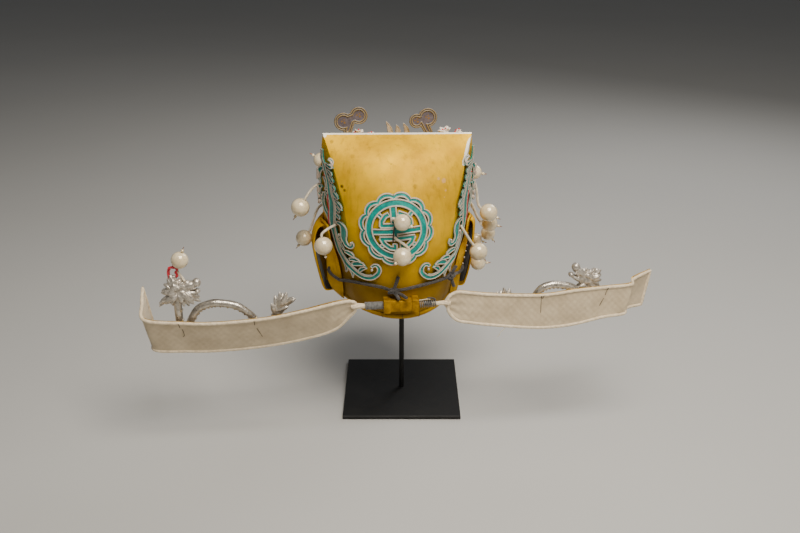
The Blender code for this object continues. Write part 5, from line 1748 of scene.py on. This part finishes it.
    def tail_pieces(self) -> list[Object]:
        """The tuft of locks that ends the tail.

        Returns:
            The tuft's parts.
        """
        path = [Vector(row) for row in self.path()]
        parts = [ball(path[-3], (0.15 * self.head, 0.11 * self.head, 0.12 * self.head), 14)]
        for i, (back, lean, length) in enumerate(self.tuft):
            at = path[-1 - back]
            onward = (at - path[-6 - back]).normalized()
            side = Vector((-onward.z, 0, onward.x)) * (1 if onward.x > 0 else -1)
            way = (onward + side * lean + Vector((0, 0.28 * ((i % 3) - 1), 0))).normalized()
            bend = side * (0.6 if lean > 0 else -0.5)
            parts.append(self.lock(at - onward * 0.05 * self.head, way, bend, length * self.head,
                                   0.088 * self.head))
        return parts

    def build(self) -> None:
        """Makes the body with its belly plates, and the cast head and tail."""
        path = self.path()
        count = len(path)
        shares = 1 - 0.45 * np.clip(np.arange(count) / (count - 1) - 0.55, 0, 1) / 0.45
        body = tube("body", path, self.radius, 6, shares)
        cast = joined(self.head_pieces() + self.tail_pieces())
        modify(cast, "REMESH", mode="VOXEL", voxel_size=0.00048, use_smooth_shade=True)
        modify(cast, "SMOOTH", factor=0.5, iterations=2)
        name = "dragon_" + self.side.word
        placed(body, name + "_body", SCALED_SILVER, name)
        placed(cast, name + "_head_and_tail", SILVER, smooth=60)
        plates, gold = [], []
        for i in range(12, count - 12, 4):
            at, ahead = Vector(path[i]), (Vector(path[i + 1]) - Vector(path[i - 1])).normalized()
            bend = Vector(path[i + 4]) + Vector(path[i - 4]) - 2 * at
            inner = (bend - ahead * bend.dot(ahead)).normalized()
            turn = Matrix((ahead, ahead.cross(inner), inner)).transposed()
            reach = self.radius * shares[i]
            gold.append(ball(at + inner * reach * 0.66, (0.0021, 0.0035 * shares[i], 0.0017), 12, turn))
            plates.append(ball(at + inner * reach * 0.8, (0.0017, 0.0031 * shares[i], 0.0019), 12, turn))
        placed(gold, name + "_plate_edges", GOLD_THREAD)
        placed(plates, name + "_plates", SILVER)
        LOG.info("%s: %d faces in the head and tail", name, len(cast.data.polygons))


@dataclass
class DragonRibbon:
    """The red silk tied in the left dragon's mane under its pearl."""
    dragon: Dragon
    height: float = 0.019
    width: float = 0.0036
    thickness: float = 0.0003
    cut: tuple = (0.01, 0.0195)
    cut_area: float = 0.00013

    def build(self) -> None:
        """Makes the standing end and the small loop beside it."""
        at, _ = self.dragon.frame()
        low = (TO_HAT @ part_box("ribbon")[0]).z
        root = at.x - 0.23 * self.dragon.head
        path = smooth_path([(root, low), (root + 0.0008, low + 0.3 * self.height),
                            (root + 0.0004, low + 0.7 * self.height), (root + 0.0022, low + self.height)], 8)
        half = np.interp(np.linspace(0, 1, len(path)), (0, 0.3, 1), (0.25, 0.5, 0.5)) * self.width

        def place(u: Rows, v: Rows) -> Rows:
            """The strip, folded along its length.

            Args:
                u: 0 at its left edge, 1 at its right edge.
                v: 0 at its foot, 1 at its top.

            Returns:
                The points as rows.
            """
            row = along_rows(path, v)
            wide = np.interp(v, np.linspace(0, 1, len(half)), half)
            fold = 0.0009 * np.cos(u * 3 * math.pi + v) * (0.6 + 0.4 * v)
            return stacked(row[:, 0] + (2 * u - 1) * wide, at.y + fold, row[:, 1])

        strip = placed(walled(grid_sheet("ribbon", 20, 26, place), self.thickness, 0), "ribbon_end", RED_SILK,
                       "ribbon", smooth=60)
        top = Vector((root + 0.001, at.y, low + self.height))
        loop = led(top, (0, 0, -1.2), (3, -0.8, 0.4), (7.2, -0.4, -0.4),
                   (9.2, 0.6, -3.4), (7.6, 0.4, -6.6), (8.6, -0.2, -9.8),
                   (7, 0, -12.6))
        pinches = 1 + 0.22 * np.sin(np.arange(len(loop)) * 0.85)
        placed(tube("loop", loop, 0.0015, 1, pinches), "ribbon_loop", RED_SILK)
        LOG.info("ribbon")


# What stands above the ridge

@dataclass
class Topknots:
    """The curls, the three flames and the blossoms on the roof behind the ridge."""
    curl_y: float = 0.02
    crest_y: float = 0.03
    stalk: float = 0.0014
    # Side, two lobes as across, over the ridge and radius, and the foot as across and over the ridge
    curls: tuple = milli(
        (Side.LEFT, ((-60.8, 2, 10.5), (-42.2, 9.2, 10)), (-56.1, -9.3)),
        (Side.RIGHT, ((28, 1.2, 8.2), (41.4, 5.2, 11)), (42.7, -12.7)))
    # The amber seeds in each lobe: across, up, and radius
    seeds: tuple = milli((-2, 0.4, 1), (1.4, -1.2, 1.2), (0.8, 2.2, 0.8))
    # Base across, tip across, and rise of the tip
    flames: tuple = milli((-2.5, -8.1, 15.5), (6.2, 4.3, 10.9), (17.9, 13, 12.9))
    flame_sink: float = 0.0046
    crest_drop: float = 0.017
    # Across, forward, over the ridge, and radius
    blossoms: tuple = milli(
        (-43, 20, -11.2, 6.6), (-27.6, 20, -14.5, 5.2), (61.5, 8, -9, 8), (76, -4, -6.8, 4.2))

    @staticmethod
    def foot(node: str) -> float:
        """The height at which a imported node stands, in the hat's frame."""
        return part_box(node)[0].z - HAT.translation.z

    def curl(self, side: Side, lobes: tuple, foot: tuple[float, float]) -> None:
        """One curl: two lobes with double raised rims round violet-grey fields with amber seeds.

        Args:
            side: which curl.
            lobes: the lobes, as in the table.
            foot: the foot, as in the table.
        """
        top, (foot_x, foot_z) = FORM.height, (foot[0], FORM.height + foot[1])
        middle = (sum(lobe[0] for lobe in lobes) / 2, top + sum(lobe[1] for lobe in lobes) / 2)
        neck = bar([middle, (foot_x, foot_z), (foot_x, foot_z - 0.006)], [0.005, 0.0044, 0.0018])
        web = bar([(x, top + up) for x, up, _ in lobes], [0.62 * lobe[2] for lobe in lobes])
        discs = [disc(x, top + up, radius) for x, up, radius in lobes]
        seeds = [disc(x + a, top + up + b, size) for x, up, _ in lobes for a, b, size in self.seeds]
        low = (min(lobe[0] - lobe[2] for lobe in lobes) - 0.002, foot_z - 0.008)
        high = (max(lobe[0] + lobe[2] for lobe in lobes) + 0.002,
                top + max(lobe[1] + lobe[2] for lobe in lobes) + 0.002)
        relief = Relief([either(neck, *discs, web)], low, high, upright(self.curl_y + 0.0015), card=0.0022,
                        line=0.0009, rise=0.0011, cell=0.00036, inner=(0.0003, 0.0026), tints=seeds)
        trim = relief.sheet("curl")
        stem = tube("stalk", [(foot_x, self.curl_y, z) for z in (self.foot("curl_" + side.word), foot_z)],
                    self.stalk)
        name = "curl_" + side.word
        placed(trim, name + "_plate", CURL_PAINT, name, smooth=50)
        placed(stem, name + "_stalk", SILVER)

    def crest(self) -> None:
        """The plate with three flames that bend to the left."""
        base = FORM.height - self.crest_drop
        floor = base - self.flame_sink
        shapes = []
        for root, tip, rise in self.flames:
            path = smooth_path([(root, floor), (0.6 * root + 0.4 * tip + 0.0006, base + 0.42 * rise),
                                (tip, base + rise)], 5)
            wide = np.interp(np.linspace(0, 1, len(path)), (0, 0.5, 1), (0.0033, 0.0025, 0.0002))
            shapes.append(bar(path, wide))
        left, right = self.flames[0][0] - 0.003, self.flames[-1][0] + 0.003
        shapes.append(bar([(left, floor), (right, floor)], [0.0023] * 2))
        trim = Relief(shapes[::-1], (left - 0.008, base - 0.011), (right + 0.002, base + 0.018),
                      upright(self.crest_y + 0.0012), card=0.0016, line=0.0005, rise=0.0007, cell=0.00036)
        foot = tube("foot", [((left + right) / 2, self.crest_y, z) for z in (self.foot("crest"), floor)],
                    0.0026)
        placed([trim.sheet("crest"), foot], "crest_flames", TARNISHED, "crest", smooth=50)

    def blossom(self, number: int, x: float, y: float, up: float, radius: float) -> None:
        """One silk blossom: cupped petals round a red heart, on a stalk.

        Args:
            number: its number.
            x: across.
            y: forward.
            up: over the ridge.
            radius: its radius.
        """
        name, z = f"blossom_{number}", FORM.height + up
        petals = []
        for i in range(9):
            # The outer petals lie back unevenly, the inner ones half stand
            lift = (-6, -38, -20)[i % 3] + 10 * math.sin(3 * i + number)
            turn = Matrix.Rotation(i * 2.4 + number, 3, "Z") @ Matrix.Rotation(math.radians(lift), 3, "Y")
            at = Vector((x, y, z - 0.0006)) + turn @ Vector((radius * (0.62, 0.42, 0.52)[i % 3], 0, 0))
            petals.append(ball(at, (radius * 0.55, radius * 0.4, radius * 0.15), 14, turn))
        placed(petals, name + "_petals", PETAL, name, smooth=60)
        heart = [ball((x + a, y - 0.001, z + b), (0.0012, 0.001, 0.0011), 10)
                 for a, b in ((-0.003, 0.0018), (-0.0042, -0.0004), (0.0004, 0.003))]
        placed(heart, name + "_heart", RED_PAINT, smooth=60)
        stem = tube("stalk", [(x, y, self.foot(name)), (x, y, z)], 0.001, 1)
        placed(stem, name + "_stalk", CREAM_THREAD)

    def build(self) -> None:
        """Makes them all."""
        for side, lobes, foot in self.curls:
            self.curl(side, lobes, foot)
        self.crest()
        for i, row in enumerate(self.blossoms):
            self.blossom(i + 1, *row)
        LOG.info("ornaments above the ridge")


# Pearls on sprung wires

@dataclass
class Pearls:
    """Drilled pearls on wires bound with cream thread, each ended in a small bead and a copper tip."""
    roundel: Roundel
    dragon: Dragon
    radius: float = 0.0105
    stem: float = 0.0016
    bead: float = 0.002
    wire: float = 0.0005
    tip: float = 0.0032
    # Name, carrier, seat, root and centre as shares from the carrier, way out of the pearl, radius's share
    rows: tuple = milli(
        ("left_1", "crown", Seat.LEFT, (0, -213, 700), (-1284, -330, 580), (-500, 0, -870), 1050),
        ("left_2", "crown", Seat.BACK, (-828, 0, 504), (-997, -679, 409), (160, -200, -970), 1020),
        ("left_3", "crown", Seat.LEFT, (0, -47, 546), (-1261, -75, 343), (-600, 0, -800), 960),
        ("left_4", "crown", Seat.LEFT, (0, 330, 725), (-993, 425, 746), (-800, 200, 500), 900),
        ("right_1", "crown", Seat.RIGHT, (0, 189, 725), (1126, 189, 683), (970, 0, -210), 860),
        ("right_2", "crown", Seat.RIGHT, (0, -189, 691), (1261, -189, 490), (840, 0, -540), 1050),
        ("right_3", "crown", Seat.RIGHT, (0, -47, 546), (1323, 0, 385), (950, 0, -300), 960),
        ("right_4", "crown", Seat.RIGHT, (0, 283, 556), (1361, 236, 277), (600, 0, -800), 900),
        ("right_5", "crown", Seat.BACK, (822, 0, 478), (1080, -472, 301), (580, 200, -790), 1050),
        ("right_6", "crown", Seat.RIGHT, (0, 472, 290), (1209, 330, 221), (900, -200, -300), 750),
        ("right_7", "crown", Seat.RIGHT, (0, 94, 145), (1180, 0, 130), (1000, 0, -40), 930),
        ("centre_1", "roundel", Seat.BACK, (-85, 0, 320), (216, -410, 358), (860, -420, -300), 900),
        ("centre_2", "roundel", Seat.BACK, (-43, 0, -372), (202, -638, -1011), (-660, -660, -350), 1000),
        ("wing", "dragon", Seat.TOP, (200, 0, 0), (120, 30, 885), (340, 0, 940), 930))
    seats: tuple = (
        "crown", "front_fan", "cheek_left", "cheek_right", "medallion", "scroll_left", "scroll_right",
        "dragon_left")

    def carriers(self) -> dict[str, tuple[Vector, Vector]]:
        """What the shares are measured on.

        Returns:
            Where each carrier's shares start, and the sizes that they are of.
        """
        ring, head = self.roundel.ring_inner, self.dragon.head
        return {"crown": (Vector(), Vector((FORM.half_width, FORM.back, FORM.height))),
                "roundel": (FORM.at_back(self.roundel.x, self.roundel.z), Vector((ring,) * 3)),
                "dragon": (self.dragon.frame()[0], Vector((head,) * 3))}

    @staticmethod
    def root(tree: BVHTree, seat: Seat, point: Vector) -> tuple[Vector, Vector]:
        """The first face met on the way to a point: its place and normal."""
        way = Vector(seat.value)
        place, normal, _, _ = tree.ray_cast(point - way * 0.8, way)
        return place, normal

    def stem_line(self, root: Vector, normal: Vector, centre: Vector, way: Vector,
                  radius: float) -> list[Vector]:
        """The bent wire's middle line.

        Args:
            root: the place on its carrier.
            normal: the carrier's normal there.
            centre: the pearl's middle.
            way: the way out of the pearl.
            radius: the pearl's radius.

        Returns:
            The line from the root to the pearl.
        """
        foot, shoulder = root + normal * 0.0005, centre - way * (radius + GAP)
        collar = shoulder - way * 0.0015
        length = (collar - foot).length
        first, second = foot + normal * 0.28 * length, collar - way * 0.2 * length
        return [foot * (1 - t) ** 3 + first * (3 * t * (1 - t) ** 2) + second * (3 * t * t * (1 - t))
                + collar * t ** 3 for t in (i / 24 for i in range(25))] + [shoulder]

    @staticmethod
    def drilled() -> Object:
        """One pearl of radius 1 with a dimple at each end of its bore.

        Returns:
            The object, its bore along z.
        """
        pearl = ball(Vector(), 1, 40)
        for vert in pearl.data.vertices:
            if abs(vert.co.z) > 0.995:
                vert.co *= 0.9
        return pearl

    def build(self) -> None:
        """Makes every pearl with its stem, bead and tip."""
        tree, carriers, master = solids(self.seats), self.carriers(), self.drilled()
        for name, carrier, seat, root, centre, way, share in self.rows:
            base, size = carriers[carrier]
            place, normal = self.root(tree, seat, base + size * Vector(root))
            centre, way = base + size * Vector(centre), Vector(way).normalized()
            radius = share * self.radius
            pearl = bpy.data.objects.new("pearl", master.data.copy())
            bpy.context.collection.objects.link(pearl)
            turn = way.to_track_quat("Z", "Y").to_matrix()
            scale = Matrix.Diagonal((radius, radius, radius, 1))
            pearl.data.transform(Matrix.Translation(centre) @ turn.to_4x4() @ scale)
            placed(pearl, "pearl_bead_" + name, PEARL, "pearl_" + name, smooth=60)
            line = self.stem_line(place, normal, centre, way, radius)
            wrap = tube("wrap", wound(line, self.stem - 0.0004, 0.0014, 10), 0.00052, 1)
            placed([tube("core", line, self.stem - 0.0004), wrap], "stem_bound_" + name, CREAM_THREAD,
                   "stem_" + name, smooth=60)
            clear = radius + GAP
            bead = ball(centre + way * (clear + 0.9 * self.bead),
                        (0.9 * self.bead, 0.9 * self.bead, self.bead), 16, turn)
            placed(bead, "stem_end_bead_" + name, PEARL, smooth=60)
            end, aside = clear + 1.8 * self.bead, way.orthogonal().normalized() * 0.0006
            tip = [centre + way * (end - 0.0006), centre + way * (end + 0.5 * self.tip),
                   centre + way * (end + self.tip) + aside]
            placed(tube("tip", tip, self.wire, 1, (1.2, 1.0, 0.5)), "stem_tip_" + name, COPPER_WIRE)
        bpy.data.objects.remove(master)
        LOG.info("%d pearls", len(self.rows))


# The cord

@dataclass
class TieCord:
    """The dark three-strand cord laced from flap to flap, with two knots and their ends."""
    shell: Shell
    radius: float = 0.002
    lift: float = 0.0028
    knot_radius: float = 0.0046
    knot_length: float = 0.0055
    knots: tuple = milli(("centre", -10.3, 41.3), ("right", 56, 46))
    # Over the flaps' leaves: from the rear edge forward, down, and out from the face
    laces: dict = pair(
        milli((800, 390, -3), (740, 425, 1.2), (600, 462, 2.6), (440, 500, 2.6), (200, 550, 2.6),
              (-20, 590, 2.6)),
        milli((980, 410, -3), (920, 415, 1.2), (620, 445, 2.6), (310, 478, 2.6), (50, 488, 2.6)))
    left: tuple = milli((-57.6, 40.9), (-37.3, 44), (-22.8, 43.6))
    middle: tuple = milli((4, 42.6), (26.2, 45), (44, 44.7))
    # A knot's turns: how they lean and how far they are shifted along the run
    turns: tuple = milli((550, -3), (-450, 3), (100, 0), (1100, 0.4))
    tails: tuple = milli(
        ("centre", (3, -1, 9), (6, 1, 17)), ("centre", (4, -5, -4), (6, -10, -6.5)),
        ("centre", (9, -4, -3), (15, -8.5, -6)), ("right", (2, -2, 7), (6, 1, 12)),
        ("right", (1, -4, -6), (3, -5, -12)))

    def strands(self, line: Sequence, reach: float = 0.54, pitch: float = 0.0072, radius: float = 0.5,
                count: int = 3) -> list[Object]:
        """Twisted strands along a line.

        Args:
            line: the cord's middle line.
            reach: how far the strands' middles are from it, as a share of the cord's radius.
            pitch: the twist's rise for each turn.
            radius: the strands' radius, as a share of the cord's.
            count: how many strands.

        Returns:
            The strands.
        """
        lines = [wound(line, reach * self.radius, pitch, 12, i / count) for i in range(count)]
        return [tube("strand", strand, radius * self.radius, 1) for strand in lines]

    def lace(self, side: Side) -> list[Vector]:
        """Points through a flap's leaf and over its face to its rear edge."""
        return [Vector(self.shell.leaf_at(side, np.array(u), np.array(v), out))
                for u, v, out in self.laces[side]]

    def knot(self, name: str, at: Vector, along: Vector) -> None:
        """One overhand knot: turns of cord round the run, with its ends.

        Args:
            name: the knot's name.
            at: its middle.
            along: the way the run goes through it.
        """
        along = along.normalized()
        face = along.cross(UP).normalized()
        reach = self.knot_radius - 0.8 * self.radius
        parts = []
        for lean, shift in self.turns:
            hoop = [at + along * (math.sin(t) * lean * reach + shift)
                    + (UP * math.sin(t) + face * math.cos(t) * 0.86) * reach * (0.9 + 0.1 * math.cos(2 * t))
                    for t in np.linspace(0, TURN, 28, endpoint=False)]
            parts += self.strands(hoop + hoop[:1], 0.4, 0.0066, 0.56, 2)
        for owner, bend, end in self.tails:
            if owner == name:
                parts += self.strands(smooth_path([at, at + Vector(bend), at + Vector(end)]))
        placed(parts, "cord_knot_" + name, DARK_CORD, "knot_" + name, smooth=60)

    def build(self) -> None:
        """Makes the three runs and the two knots."""
        knots = {name: FORM.at_back(x, z, self.lift - self.radius + self.knot_radius)
                 for name, x, z in self.knots}

        def beside(name: str, towards: Vector) -> Vector:
            """Where a run goes into a knot."""
            return knots[name] + (towards - knots[name]).normalized() * (self.knot_length - 0.002)

        def laid(rows: tuple) -> list[Vector]:
            """Points of the cord over the crown's back."""
            return [FORM.at_back(x, z, self.lift) for x, z in rows]

        left = self.lace(Side.LEFT) + laid(self.left)
        middle, right = laid(self.middle), self.lace(Side.RIGHT)
        runs = {"left": left + [beside("centre", left[-1])],
                "middle": [beside("centre", middle[0]), *middle, beside("right", middle[-1])],
                "right": right + [beside("right", right[-1])]}
        for name, points in runs.items():
            line = smooth_path(points)
            LOG.info("cord_%s: %.0f mm", name, 1000 * np.linalg.norm(np.diff(line, axis=0), axis=1).sum())
            placed(self.strands(line), "cord_run_" + name, DARK_CORD, "cord_" + name, smooth=60)
        for name, at in knots.items():
            self.knot(name, at, FORM.at_back(at.x + 0.01, at.z) - FORM.at_back(at.x - 0.01, at.z))
        LOG.info("tie cord")


# The stand and the studio

class Stand:
    """The black steel plate and rod, kept as they are packed, and given their finish."""

    def build(self) -> None:
        """Gives both their finish."""
        for name in ("stand_plate", "stand_rod"):
            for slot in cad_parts[name].material_slots:
                slot.material = BLACK_POWDER.material()
        LOG.info("stand")


@dataclass
class Studio:
    """A pale floor, soft lights and the photograph's camera."""
    camera_at: tuple = (-0.002, -1.0545, 0.6226)
    lens: float = 40.5
    pitch: float = 22.8
    aim: tuple = (0, 0, 0.26)
    world: tuple = ("#EEF0F2", 0.1)
    # Place, size, power in watts and colour: the key over the back, a weak fill, and one from the front
    lights: tuple = (
        ((0.24, -0.64, 1.42), 0.8, 31, "#FFF8EC"), ((1.1, -1.1, 0.75), 0.6, 1.5, "#FFF6EA"),
        ((0.9, 1.1, 1.2), 0.8, 8, "#FFFFFF"))

    def light(self, at: tuple, size: float, power: float, colour: str) -> None:
        """One soft square light.

        Args:
            at: its place; it is aimed at the hat.
            size: its side.
            power: in watts.
            colour: its colour.
        """
        bpy.ops.object.light_add(type="AREA", location=at)
        lamp = bpy.context.object
        lamp.data.shape = "SQUARE"
        lamp.data.size = size
        lamp.data.energy = power
        lamp.data.color = linear(colour)[:3]
        lamp.rotation_euler = (Vector(self.aim) - Vector(at)).to_track_quat("-Z", "Y").to_euler()

    def build(self) -> None:
        """Sets the floor, lights, world and camera."""
        deselect()
        bpy.ops.mesh.primitive_plane_add(size=24, location=(0, 6, -0.0002))
        floor = bpy.context.object
        floor.name = "floor"
        floor.data.materials.append(FLOOR_PAINT.material())
        for row in self.lights:
            self.light(*row)
        world = bpy.context.scene.world or bpy.data.worlds.new("studio")
        bpy.context.scene.world = world
        world.use_nodes = True
        colour, strength = self.world
        world.node_tree.nodes["Background"].inputs[0].default_value = linear(colour)
        world.node_tree.nodes["Background"].inputs[1].default_value = strength
        bpy.ops.object.camera_add(location=self.camera_at, rotation=(math.radians(90 - self.pitch), 0, 0))
        camera = bpy.context.object
        camera.data.lens = self.lens
        camera.data.sensor_width = 36
        bpy.context.scene.camera = camera


# The two dragons' routes: outwards, up, as shares of the wing's reach and depth
LEFT_ROUTE = (
    (0.868, 0.54), (0.876, 0.1), (0.872, -0.5), (0.852, -0.62), (0.826, -0.35), (0.787, -0.02),
    (0.738, 0.11), (0.69, 0.14), (0.605, 0.05), (0.545, -0.18), (0.505, -0.43), (0.47, -0.58), (0.44, -0.4),
    (0.405, -0.1), (0.378, 0.06))
RIGHT_ROUTE = (
    (0.742, 0.36), (0.76, 0.12), (0.754, -0.14), (0.735, -0.32), (0.708, -0.1), (0.672, 0.19), (0.615, 0.3),
    (0.556, 0.32), (0.506, 0.22), (0.47, -0.05), (0.442, -0.38), (0.41, -0.48), (0.378, -0.32),
    (0.35, -0.14), (0.325, -0.07))


def main() -> None:
    """Builds every sub-assembly in order; all but the studio log what they made."""
    logging.basicConfig(level=logging.INFO, format="%(name)s: %(message)s")
    shell, roundel, socket = Shell(), Roundel(), WingSocket()
    wings = Wings(socket)
    behind = wings.rim + 0.0045 + GAP
    left = Dragon(wings, Side.LEFT, LEFT_ROUTE, 0.045 * wings.depth + behind, 0.0, 1, math.radians(8))
    right = Dragon(wings, Side.RIGHT, RIGHT_ROUTE, 0.02 * wings.depth + behind, 0.0062, -1, math.radians(36),
                   beard=False)
    for part in (Stand(), Crown(), shell, RimRoll(), roundel, Scrolls(), socket, Springs(socket), wings, left,
                 right, DragonRibbon(left), Topknots(), Pearls(roundel, left), TieCord(shell), Studio()):
        part.build()
    deselect()


if __name__ == "__main__":
    main()
